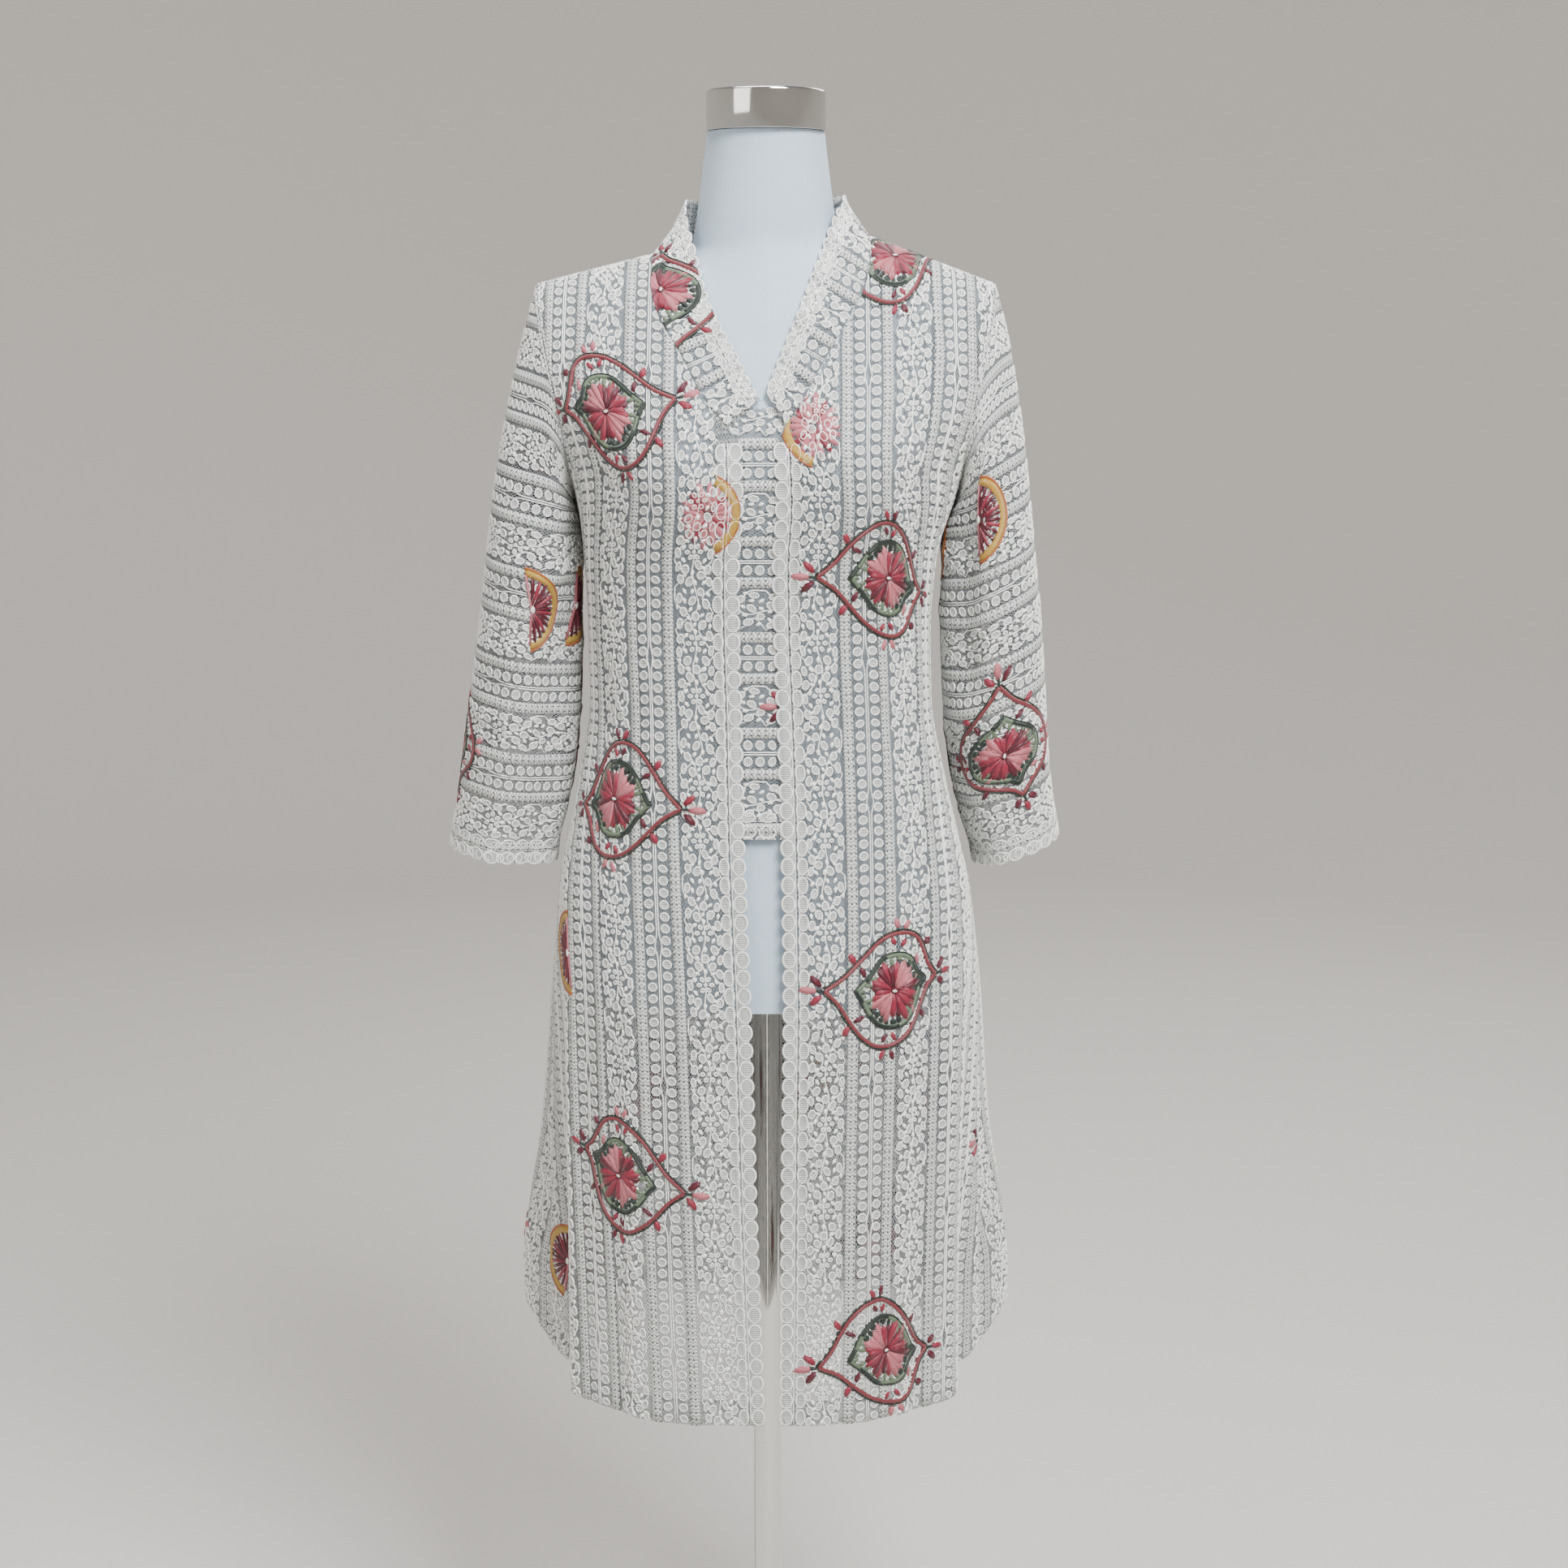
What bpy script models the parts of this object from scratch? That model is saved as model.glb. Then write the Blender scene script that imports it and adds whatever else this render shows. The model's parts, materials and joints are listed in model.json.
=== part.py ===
"""A long lace kebaya blouse with a narrow centre panel, worn by a limbless dress form on a pole stand.

Metres, +Z up. The origin is the middle of the stand base's underside. The front of the blouse faces -Y,
and left and right are as seen from the front, so left is -X. Each cloth piece is a thin closed wall.
"""

import bisect
import math

import bmesh
import bpy
from mathutils import Vector

LEFT, RIGHT = -1.0, 1.0
FRONT, BACK = -1.0, 1.0

# Cloth
WALL = 0.0012
HEM_WALL = 0.0024
HEM_TURN = 0.022
SEAM_GAP = 0.0004
ARMHOLE_GAP = 0.0005
LAYER_GAP = 0.0009

# The blouse round the body. Width and depths are from the middle line, and lean moves a level sideways.
CENTRE_Y = 0.005
BODY_COLUMNS = ("height", "half_width", "front_depth", "back_depth", "lean")
BODY_LEVELS = (
    (0.400, 0.1870, 0.1400, 0.1300, -0.002),
    (0.600, 0.1850, 0.1370, 0.1290, -0.002),
    (0.780, 0.1850, 0.1330, 0.1270, -0.001),
    (0.860, 0.1790, 0.1270, 0.1230, -0.002),
    (0.910, 0.1690, 0.1210, 0.1150, -0.003),
    (0.960, 0.1580, 0.1160, 0.1060, -0.004),
    (1.030, 0.1460, 0.1110, 0.0960, -0.005),
    (1.090, 0.1455, 0.1110, 0.0920, -0.006),
    (1.150, 0.1490, 0.1140, 0.0950, -0.005),
    (1.210, 0.1620, 0.1170, 0.1000, 0.000),
    (1.222, 0.1660, 0.1165, 0.1010, 0.000),
    (1.240, 0.1745, 0.1140, 0.1020, 0.000),
    (1.262, 0.1860, 0.1090, 0.1025, 0.000),
    (1.287, 0.1970, 0.1020, 0.1010, 0.000),
    (1.312, 0.2030, 0.0940, 0.0980, 0.000),
    (1.340, 0.2070, 0.0860, 0.0930, 0.000),
    (1.400, 0.2080, 0.0780, 0.0860, 0.000),
    (1.460, 0.2080, 0.0740, 0.0820, 0.000),
)
SECTION_POWER = 2.4

# Bust, rounded over each cup point
BUST_X = 0.076
BUST_HEIGHT = 1.228
BUST_RISE = 0.020
BUST_WIDTH = 0.048
BUST_TALL = 0.062

# Shoulder line: a straight seam from the neck to the shoulder tip, over which front and back roll
TIP_X = 0.190
TIP_HEIGHT = 1.377
SHOULDER_SLOPE = {LEFT: 0.25, RIGHT: 0.37}
SLOPES_MEET_X = 0.080
SHOULDER_ROLL = 0.130

# Hem and the flute at each side seam, where the back swings out behind the front
HEM_HEIGHT = 0.418
FLARE_ANGLE = 104.0
FLARE_RISE = 0.045
FLARE_RISE_WIDTH = 13.0
RISE_TOP = 0.62
# Folds of the skirt, as (angle from the front, half angle, how far outward)
FLUTES = (
    (77.5, 8.0, -0.024),
    (103.0, 11.0, 0.042),
    (122.0, 8.0, -0.010),
    (40.0, 7.0, -0.004),
    (24.0, 6.0, 0.003),
    (150.0, 9.0, 0.008),
    (168.0, 8.0, -0.006),
)
FLUTE_GROWTH = ((0.40, 1.0), (0.50, 1.0), (0.57, 0.78), (0.64, 0.50), (0.74, 0.28), (0.87, 0.0), (0.90, 0.0))

# Rows of the body pieces: level ones below the armpit, then ones that climb the armhole and the neckline.
# Armhole rows are (height, distance from the middle in front, the same behind)
LEVEL_ROWS = (0.500, 0.570, 0.640, 0.710, 0.780, 0.840, 0.890, 0.940, 0.990, 1.045, 1.100, 1.150, 1.185)
ARMPIT_HEIGHT = 1.210
ARMHOLE_ROWS = (
    (1.210, 0.1620, 0.1620),
    (1.222, 0.1635, 0.1640),
    (1.240, 0.1650, 0.1670),
    (1.262, 0.1680, 0.1700),
    (1.287, 0.1730, 0.1740),
    (1.312, 0.1790, 0.1790),
    (1.336, 0.1845, 0.1840),
    (1.356, 0.1880, 0.1880),
    (1.368, 0.1896, 0.1896),
    (1.375, 0.1900, 0.1900),
    (1.377, 0.1900, 0.1900),
)

# Front edge and neckline of each front, as (height, distance from the middle)
EDGE_LINE = {
    LEFT: ((0.400, 0.0012), (0.640, 0.0090), (0.927, 0.0165), (1.050, 0.0170), (1.255, 0.0210)),
    RIGHT: ((0.400, 0.0157), (0.640, 0.0170), (0.927, 0.0180), (1.050, 0.0160), (1.255, 0.0090)),
}
NECK_START = 1.255
NECK_ROWS = {
    LEFT: (1.210, 1.232, 1.255, 1.280, 1.305, 1.330, 1.352, 1.372, 1.388),
    RIGHT: (1.210, 1.232, 1.255, 1.280, 1.305, 1.332, 1.358, 1.382, 1.402),
}
TOP_ROW_DROP = 0.003
NECK_LINE = {
    LEFT: (
        (1.255, 0.0210), (1.280, 0.0450), (1.300, 0.0575), (1.315, 0.0650), (1.333, 0.0760),
        (1.349, 0.0860), (1.365, 0.0915), (1.377, 0.0940), (1.392, 0.0935), (1.402, 0.0922),
    ),
    RIGHT: (
        (1.255, 0.0090), (1.280, 0.0270), (1.300, 0.0385), (1.318, 0.0490), (1.340, 0.0620),
        (1.358, 0.0720), (1.375, 0.0800), (1.392, 0.0850), (1.408, 0.0860), (1.418, 0.0850),
    ),
}
NECK_SIDE_X = {LEFT: 0.0922, RIGHT: 0.0850}
BACK_NECK_HEIGHT = 1.396

# Scalloped lace edges
SCALLOP_PITCH = 0.012
SCALLOP_DEPTH = 0.0042
SCALLOP_INSET = 0.004
NECK_INSET_SHARE = 0.3
SCALLOP_SHAPE = ((0.0, 0.0), (0.28, 1.0), (0.72, 1.0))

# Columns of the body pieces, as shares of the way round each piece
FRONT_SHARES = (0.05, 0.16, 0.28, 0.40, 0.52, 0.64, 0.73, 0.81, 0.89, 0.945, 1.0)
BACK_NECK_SHARES = (0.0, 0.35, 0.70, 1.0)
BACK_ANGLES = (46.0, 59.0, 67.0, 73.0, 78.5, 84.0, 90.0)

# Centre panel behind the two fronts
PANEL_LEFT = -0.041
PANEL_RIGHT = 0.028
PANEL_BOTTOM = 0.930
PANEL_COLUMNS = 6
PANEL_ROWS = (
    0.930, 0.945, 0.960, 0.975, 0.990, 1.008, 1.026, 1.045, 1.063, 1.081, 1.100, 1.116, 1.133, 1.150,
    1.167, 1.185, 1.210, 1.232, 1.255, 1.280,
)

# Collar band, from the V round to the middle of the back. Its free edge is given on the front by distance
# from the middle, height and how far it stands off the form, and behind the shoulder seam by x, y and height
BAND_ACROSS = 3
BAND_FOOT_SHARE = 0.35
BAND_EDGE_FRONT = {
    LEFT: (
        (0.0035, 1.2850, 0.0052), (0.0125, 1.3000, 0.0052), (0.0245, 1.3215, 0.0052), (0.0365, 1.3435, 0.0052),
        (0.0460, 1.3620, 0.0052), (0.0530, 1.3800, 0.0052), (0.0585, 1.3990, 0.0105), (0.0630, 1.4200, 0.0190),
    ),
    RIGHT: (
        (0.0000, 1.2900, 0.0052), (0.0050, 1.3020, 0.0052), (0.0135, 1.3230, 0.0052), (0.0250, 1.3510, 0.0052),
        (0.0360, 1.3790, 0.0052), (0.0465, 1.4040, 0.0052), (0.0560, 1.4240, 0.0120), (0.0610, 1.4360, 0.0170),
    ),
}
BAND_EDGE_BACK = {
    LEFT: ((0.0665, 0.000, 1.4380), (0.0640, 0.034, 1.4455), (0.0340, 0.062, 1.4420), (0.0, 0.0710, 1.4385)),
    RIGHT: ((0.0645, 0.003, 1.4450), (0.0630, 0.034, 1.4490), (0.0340, 0.062, 1.4430), (0.0, 0.0710, 1.4385)),
}

# Sleeves: (height, outer x, inner x, front y, back y), down to the cuff
SLEEVE_COLUMNS = ("height", "outer_x", "inner_x", "front_y", "back_y")
SLEEVE_LEVELS = {
    LEFT: (
        (1.165, 0.2365, 0.1575, -0.054, 0.074),
        (1.100, 0.2450, 0.1590, -0.052, 0.072),
        (1.040, 0.2535, 0.1610, -0.050, 0.070),
        (0.980, 0.2620, 0.1660, -0.048, 0.068),
        (0.930, 0.2690, 0.1760, -0.045, 0.066),
        (0.915, 0.2725, 0.1810, -0.044, 0.065),
        (0.893, 0.2765, 0.1840, -0.043, 0.064),
    ),
    RIGHT: (
        (1.165, 0.2270, 0.1520, -0.054, 0.074),
        (1.100, 0.2345, 0.1500, -0.052, 0.072),
        (1.040, 0.2395, 0.1520, -0.050, 0.070),
        (0.980, 0.2435, 0.1580, -0.048, 0.067),
        (0.930, 0.2485, 0.1700, -0.046, 0.064),
        (0.915, 0.2510, 0.1760, -0.045, 0.062),
        (0.897, 0.2540, 0.1800, -0.044, 0.060),
    ),
}
CUFF_TILT = {LEFT: 0.008, RIGHT: 0.014}
SLEEVE_POWER = 2.2
CAP_SHARES = (0.16, 0.36, 0.60, 0.82)
CAP_LEAVE = (0.28, -0.80)
CAP_ARRIVE = (0.07, -0.70)
CUFF_TILT_TOP = 1.02
CUFF_TILT_TALL = 0.13
# Folds along each sleeve, as (angle, half angle, how far outward, top, bottom)
SLEEVE_FOLD_FADE_TOP = 0.06
SLEEVE_FOLD_FADE_FOOT = 0.04
SLEEVE_FOLDS = {
    LEFT: (
        (128.0, 22.0, -0.010, 1.15, 0.88),
        (84.0, 13.0, 0.005, 1.13, 0.88),
        (238.0, 24.0, -0.007, 1.16, 0.92),
        (150.0, 14.0, -0.006, 1.24, 1.08),
    ),
    RIGHT: (
        (126.0, 18.0, -0.008, 1.26, 1.06),
        (96.0, 13.0, 0.004, 1.26, 1.02),
        (232.0, 24.0, -0.007, 1.16, 0.92),
        (150.0, 20.0, -0.005, 1.04, 0.90),
    ),
}

# Dress form
FORM_BOTTOM = 0.780
FORM_TOP = 1.500
FORM_CLEAR = (
    (0.78, 0.0100), (0.90, 0.0090), (1.00, 0.0085), (1.12, 0.0070),
    (1.20, 0.0052), (1.29, 0.0048), (1.34, 0.0042), (1.38, 0.0058),
)
FORM_SIDE_CLEAR = 0.0055
FORM_RIDGE_DROP = 0.0045
FORM_ARM_WIDTH = (
    (1.19, 0.1500), (1.22, 0.1540), (1.26, 0.1610), (1.30, 0.1700), (1.34, 0.1790), (1.40, 0.1860),
)
FORM_END_POWER = 10.0
FORM_SPREAD = 0.9
RIDGE_STEP = 0.0005
FORM_ROWS = (
    0.780, 0.800, 0.850, 0.900, 0.950, 1.000, 1.050, 1.100, 1.150, 1.190, 1.225, 1.260, 1.295, 1.325,
    1.348, 1.362, 1.371, 1.378, 1.385, 1.392, 1.400, 1.410, 1.425, 1.445, 1.470, 1.490, 1.500,
)
FORM_AROUND = 32
NECK_COLUMNS = ("height", "half_width", "half_depth")
NECK_LEVELS = (
    (1.290, 0.0400, 0.0000),
    (1.320, 0.0500, 0.0200),
    (1.345, 0.0600, 0.0450),
    (1.370, 0.0650, 0.0490),
    (1.395, 0.0640, 0.0475),
    (1.410, 0.0610, 0.0470),
    (1.430, 0.0575, 0.0475),
    (1.452, 0.0545, 0.0470),
    (1.475, 0.0515, 0.0465),
    (1.500, 0.0485, 0.0460),
)
NECK_BLEND_POWER = 6.0
NECK_Y = 0.002

# Chrome neck cap, pole and base
CAP_RADIUS = 0.0495
CAP_HEIGHT = 0.033
CAP_EDGE = 0.004
CAP_GAP = 0.0003
POLE_RADIUS = 0.0125
BASE_RADIUS = 0.160
BASE_THICK = 0.012
BASE_EDGE = 0.004
SOCKET_RADIUS = 0.024
SOCKET_HEIGHT = 0.040
ROUND_SEGMENTS = 32

# Colours as they look under plain light
LACE_COLOUR = (0.80, 0.80, 0.76, 1.0)
JERSEY_COLOUR = (0.50, 0.58, 0.66, 1.0)
CHROME_COLOUR = (0.72, 0.72, 0.73, 1.0)


def clear_scene():
    for obj in list(bpy.data.objects):
        bpy.data.objects.remove(obj, do_unlink=True)


def new_collection(name):
    collection = bpy.data.collections.new(name)
    bpy.context.scene.collection.children.link(collection)
    return collection


def new_material(name, colour, roughness, metallic=0.0):
    material = bpy.data.materials.new(name)
    material.use_nodes = True
    surface = material.node_tree.nodes["Principled BSDF"]
    surface.inputs["Base Color"].default_value = colour
    surface.inputs["Roughness"].default_value = roughness
    surface.inputs["Metallic"].default_value = metallic
    return material


def mix(start, end, share):
    return start + (end - start) * share


def smooth(share):
    share = min(max(share, 0.0), 1.0)
    return share * share * (3.0 - 2.0 * share)


def bell(distance):
    return math.exp(-distance * distance)


def make_curve(points):
    """A smooth curve through (place, value) points, which never overshoots between two of them."""
    places = [point[0] for point in points]
    values = [point[1] for point in points]
    steps = [end - start for start, end in zip(places, places[1:])]
    rises = [(end - start) / step for start, end, step in zip(values, values[1:], steps)]
    slopes = [rises[0]]
    for before, after in zip(rises, rises[1:]):
        slopes.append(0.0 if before * after <= 0.0 else 2.0 * before * after / (before + after))
    slopes.append(rises[-1])

    def curve(place):
        place = min(max(place, places[0]), places[-1])
        index = min(bisect.bisect_right(places, place), len(steps)) - 1
        step = steps[index]
        share = (place - places[index]) / step
        rest = 1.0 - share
        at_start = values[index] * rest * rest * (1.0 + 2.0 * share)
        at_end = values[index + 1] * share * share * (3.0 - 2.0 * share)
        return at_start + at_end + step * share * rest * (slopes[index] * rest - slopes[index + 1] * share)

    return curve


def column_curves(names, rows):
    """One smooth curve of height for each named column of a table whose first column is the height."""
    rows = sorted(rows)
    curves = {}
    for index, name in enumerate(names[1:], 1):
        curves[name] = make_curve([(row[0], row[index]) for row in rows])
    return curves


BODY = column_curves(BODY_COLUMNS, BODY_LEVELS)
NECK = column_curves(NECK_COLUMNS, NECK_LEVELS)
GROWTH = make_curve(FLUTE_GROWTH)
EDGE = {side: make_curve(EDGE_LINE[side]) for side in (LEFT, RIGHT)}
NECKLINE = {side: make_curve(NECK_LINE[side]) for side in (LEFT, RIGHT)}
ARM_WIDTH = make_curve(FORM_ARM_WIDTH)
CLEARANCE = make_curve(FORM_CLEAR)


def ridge_height(x, side):
    """Height of the shoulder seam at a distance from the middle; its two sides meet in one height there."""
    mean = (SHOULDER_SLOPE[LEFT] + SHOULDER_SLOPE[RIGHT]) / 2.0
    slope = mix(mean, SHOULDER_SLOPE[side], smooth(x / SLOPES_MEET_X))
    return TIP_HEIGHT + (TIP_X - x) * slope


def roll(drop):
    """Share of the full depth that the body has at this drop below the shoulder line."""
    share = min(max(drop / SHOULDER_ROLL, 0.0), 1.0)
    return math.sqrt(1.0 - (1.0 - share) ** 2)


def bust(x, height):
    across = bell((x - BUST_X) / BUST_WIDTH) + bell((x + BUST_X) / BUST_WIDTH)
    return BUST_RISE * across * bell((height - BUST_HEIGHT) / BUST_TALL)


def flute(angle, height):
    """How far the skirt's folds push the cloth out at an angle from the front, in degrees."""
    total = sum(outward * bell((angle - middle) / half) for middle, half, outward in FLUTES)
    return total * GROWTH(height)


def body_point(side, facing, width_angle, height):
    """A point of the blouse's outer face. The angle is 0 at the middle and 90 at the side, in degrees."""
    turn = math.radians(width_angle)
    half_width = BODY["half_width"](height)
    depth = BODY["front_depth" if facing == FRONT else "back_depth"](height)
    x = half_width * abs(math.sin(turn)) ** (2.0 / SECTION_POWER)
    y = depth * abs(math.cos(turn)) ** (2.0 / SECTION_POWER)
    y *= roll(ridge_height(x, side) - height)
    around = width_angle if facing == FRONT else 180.0 - width_angle
    push = flute(around, height)
    x += push * math.sin(math.radians(around))
    y += push * abs(math.cos(math.radians(around)))
    if facing == FRONT:
        y += bust(x, height) * roll(ridge_height(x, side) - height)
    return Vector((side * x + BODY["lean"](height), CENTRE_Y + facing * y, height))


def angle_of(x, height):
    """The angle at which the plain section is this far from the middle."""
    share = min(max(x / BODY["half_width"](height), 0.0), 1.0)
    return math.degrees(math.asin(share ** (SECTION_POWER / 2.0)))


def hem_rise(around, height):
    """How far a point near the hem is lifted, at an angle from the front."""
    share = smooth((RISE_TOP - height) / (RISE_TOP - HEM_HEIGHT))
    return FLARE_RISE * bell((around - FLARE_ANGLE) / FLARE_RISE_WIDTH) * share


def low_rows():
    """Heights of the level rows, from the hem's fold up to below the armpit."""
    return (HEM_HEIGHT, HEM_HEIGHT + HEM_TURN, HEM_HEIGHT + HEM_TURN + 0.001) + LEVEL_ROWS


def low_point(side, facing, width_angle, height):
    around = width_angle if facing == FRONT else 180.0 - width_angle
    return body_point(side, facing, width_angle, height + hem_rise(around, height))


def climbing_point(side, facing, row, share, inner_x, inner_height, outer_x):
    """A point of a row above the armpit, between the neckline (share 0) and the armhole (share 1)."""
    last = len(ARMHOLE_ROWS) - 1
    blend = smooth(row / last)
    outer_height = ARMHOLE_ROWS[row][0]
    inner_drop = ridge_height(inner_x, side) - inner_height
    outer_drop = ridge_height(outer_x, side) - outer_height
    level = mix(inner_height, outer_height, share)
    start = angle_of(inner_x, inner_height)
    end = angle_of(outer_x, outer_height)
    angle = mix(start, end, share)
    height = level
    for _ in range(4):
        x = BODY["half_width"](height) * math.sin(math.radians(angle)) ** (2.0 / SECTION_POWER)
        hung = ridge_height(x, side) - mix(inner_drop, outer_drop, share)
        height = mix(level, hung, blend)
    return body_point(side, facing, angle, height)


def neck_rows(side):
    """Heights of the climbing rows at the neckline, up to the shoulder seam."""
    top = ridge_height(NECK_SIDE_X[side], side)
    return NECK_ROWS[side] + (top - TOP_ROW_DROP, top)


def front_inner_x(side, height):
    return EDGE[side](height) if height <= NECK_START else NECKLINE[side](height)


def front_column(side, share):
    """One column of a front, from the hem up to the shoulder seam."""
    points = []
    for height in low_rows():
        start = angle_of(front_inner_x(side, height), height)
        points.append(low_point(side, FRONT, mix(start, 90.0, share), height))
    for row, height in enumerate(neck_rows(side)):
        inner_x = front_inner_x(side, height)
        outer_x = ARMHOLE_ROWS[row][1]
        points.append(climbing_point(side, FRONT, row, share, inner_x, height, outer_x))
    return points


def edge_column(side, shape, inset):
    """A line along the front edge: points of each scallop up to the neckline, then the neckline's own rows."""
    points = []
    count = round((NECK_START - HEM_HEIGHT) / SCALLOP_PITCH)
    pitch = (NECK_START - HEM_HEIGHT) / count
    for index in range(count):
        for along, out in shape:
            height = HEM_HEIGHT + (index + along) * pitch
            x = EDGE[side](height) + inset - out * SCALLOP_DEPTH
            reach = body_point(side, FRONT, angle_of(abs(x), height), height)
            mirrored = reach.x - BODY["lean"](height)
            points.append(Vector((math.copysign(mirrored, side * x) + BODY["lean"](height), reach.y, height)))
    for row, height in enumerate(neck_rows(side)):
        if height < NECK_START:
            continue
        inner_x = front_inner_x(side, height)
        outer_x = ARMHOLE_ROWS[row][1]
        edge = climbing_point(side, FRONT, row, 0.0, inner_x, height, outer_x)
        if inset > 0.0:
            inside = climbing_point(side, FRONT, row, FRONT_SHARES[0], inner_x, height, outer_x)
            edge = edge.lerp(inside, NECK_INSET_SHARE)
        points.append(edge)
    return points


def neck_share(side):
    """Where the back neckline ends, as a share of the way from the middle to the shoulder tip."""
    return angle_of(NECK_SIDE_X[side], TIP_HEIGHT) / angle_of(TIP_X, TIP_HEIGHT)


def back_column(side, angle):
    """One column of the back, from the hem to the shoulder seam or the back neckline."""
    share = angle / 90.0
    neck = neck_share(side)
    points = [low_point(side, BACK, angle, height) for height in low_rows()]
    last = len(ARMHOLE_ROWS) - 1
    for row, (outer_height, _, outer_x) in enumerate(ARMHOLE_ROWS):
        side_angle = angle_of(outer_x, outer_height)
        turn = side_angle * share
        climb = (outer_height - ARMPIT_HEIGHT) / (TIP_HEIGHT - ARMPIT_HEIGHT)
        height = outer_height
        for _ in range(4):
            x = BODY["half_width"](height) * math.sin(math.radians(turn)) ** (2.0 / SECTION_POWER)
            top = ridge_height(x, side)
            if share < neck - 1e-6:
                top = mix(BACK_NECK_HEIGHT, top, smooth(share / neck) ** 2)
            height = mix(ARMPIT_HEIGHT, top, climb)
        if row == last:
            height = top
        points.append(body_point(side, BACK, turn, height))
    return points


def grid_normals(lines, closed=False):
    """Outward directions of a grid of points, from its neighbours; `closed` joins each line's ends."""
    normals = []
    for row, line in enumerate(lines):
        before = lines[max(row - 1, 0)]
        after = lines[min(row + 1, len(lines) - 1)]
        line_normals = []
        for index in range(len(line)):
            if closed:
                ahead, behind = line[(index + 1) % len(line)], line[index - 1]
            else:
                ahead, behind = line[min(index + 1, len(line) - 1)], line[max(index - 1, 0)]
            line_normals.append((after[index] - before[index]).cross(ahead - behind).normalized())
        normals.append(line_normals)
    return normals


def stitch(first, second, first_marks, second_marks):
    """Faces between two strings of vertices, which may differ in number, with marks that say how far along."""
    faces = []
    i = j = 0
    while i < len(first) - 1 or j < len(second) - 1:
        more_first = i < len(first) - 1
        more_second = j < len(second) - 1
        if more_first and more_second and len(first) == len(second):
            faces.append((first[i], first[i + 1], second[j + 1], second[j]))
            i += 1
            j += 1
        elif more_first and (not more_second or first_marks[i + 1] <= second_marks[j + 1]):
            faces.append((first[i], first[i + 1], second[j]))
            i += 1
        else:
            faces.append((first[i], second[j + 1], second[j]))
            j += 1
    return faces


def cloth_wall(name, outer, inner, marks, material, collection, closed=False):
    """A closed wall from lines of outer points and their inner points, with its borders filled."""
    mesh_points = []
    outer_ids, inner_ids = [], []
    for outer_line, inner_line in zip(outer, inner):
        for line, ids in ((outer_line, outer_ids), (inner_line, inner_ids)):
            numbers = list(range(len(mesh_points), len(mesh_points) + len(line)))
            mesh_points.extend(line)
            ids.append(numbers + numbers[:1] if closed else numbers)
    if closed:
        marks = [line_marks + [1.0] for line_marks in marks]
    faces = []
    for ids, flip in ((outer_ids, False), (inner_ids, True)):
        for row in range(len(ids) - 1):
            for face in stitch(ids[row], ids[row + 1], marks[row], marks[row + 1]):
                faces.append(tuple(reversed(face)) if flip else face)
    for row, flip in ((0, True), (-1, False)):
        rim = stitch(outer_ids[row], inner_ids[row], marks[row], marks[row])
        faces.extend(tuple(reversed(face)) if flip else face for face in rim)
    if not closed:
        for end in (0, -1):
            for row in range(len(outer_ids) - 1):
                lower, upper = row, row + 1
                outside = (outer_ids[lower][end], outer_ids[upper][end])
                faces.append(outside + (inner_ids[upper][end], inner_ids[lower][end]))
    mesh = bpy.data.meshes.new(name)
    mesh.from_pydata([tuple(point) for point in mesh_points], [], faces)
    shell = bmesh.new()
    shell.from_mesh(mesh)
    bmesh.ops.recalc_face_normals(shell, faces=shell.faces)
    if shell.calc_volume(signed=True) < 0.0:
        bmesh.ops.reverse_faces(shell, faces=shell.faces)
    shell.to_mesh(mesh)
    shell.free()
    return add_object(name, mesh, material, collection)


def add_object(name, mesh, material, collection):
    mesh.materials.append(material)
    mesh.shade_smooth()
    mesh.set_sharp_from_angle(angle=math.radians(40.0))
    obj = bpy.data.objects.new(name, mesh)
    collection.objects.link(obj)
    return obj


def inward(points, normals, thickness):
    return [point - normal * thick for point, normal, thick in zip(points, normals, thickness)]


def pull(point, towards, distance):
    """The point moved a short way towards another."""
    return point + (towards - point).normalized() * distance


def without_outward(normal, axis):
    """The direction with no part along the axis, where it points along it."""
    along = normal.dot(axis)
    return (normal - axis * along).normalized() if along > 0.0 else normal


def wall_thickness(count):
    """Thickness up a body column: double at the turned-up hem."""
    return [HEM_WALL, HEM_WALL] + [WALL] * (count - 2)


def shared_normals(front_columns, back_columns, side):
    """Outward directions at the side seam that front and back share, so that their edges stay parallel."""
    front_edge, front_near = front_columns[-1], front_columns[-2]
    back_edge, back_near = back_columns[-1], back_columns[-2]
    normals = []
    for row in range(len(low_rows()) + 1):
        up = front_edge[min(row + 1, len(front_edge) - 1)] - front_edge[max(row - 1, 0)]
        across = back_near[row] - front_near[row]
        normals.append((across.cross(up) * side).normalized())
    return normals


def body_pieces():
    """Columns of points for the fronts and the back, and each side's armhole loop."""
    fronts = {side: [front_column(side, share) for share in FRONT_SHARES] for side in (LEFT, RIGHT)}
    halves = {}
    for side in (LEFT, RIGHT):
        neck_angle = 90.0 * neck_share(side)
        angles = [neck_angle * share for share in BACK_NECK_SHARES] + list(BACK_ANGLES)
        halves[side] = [back_column(side, angle) for angle in angles]
    return fronts, halves


def armhole_loop(side, fronts, halves):
    """The armhole from the shoulder tip down the front, under the arm and up the back."""
    rows = len(ARMHOLE_ROWS)
    front_line = fronts[side][-1][-rows:]
    back_line = halves[side][-1][-rows:]
    return list(reversed(front_line)) + back_line[1:-1]


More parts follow.
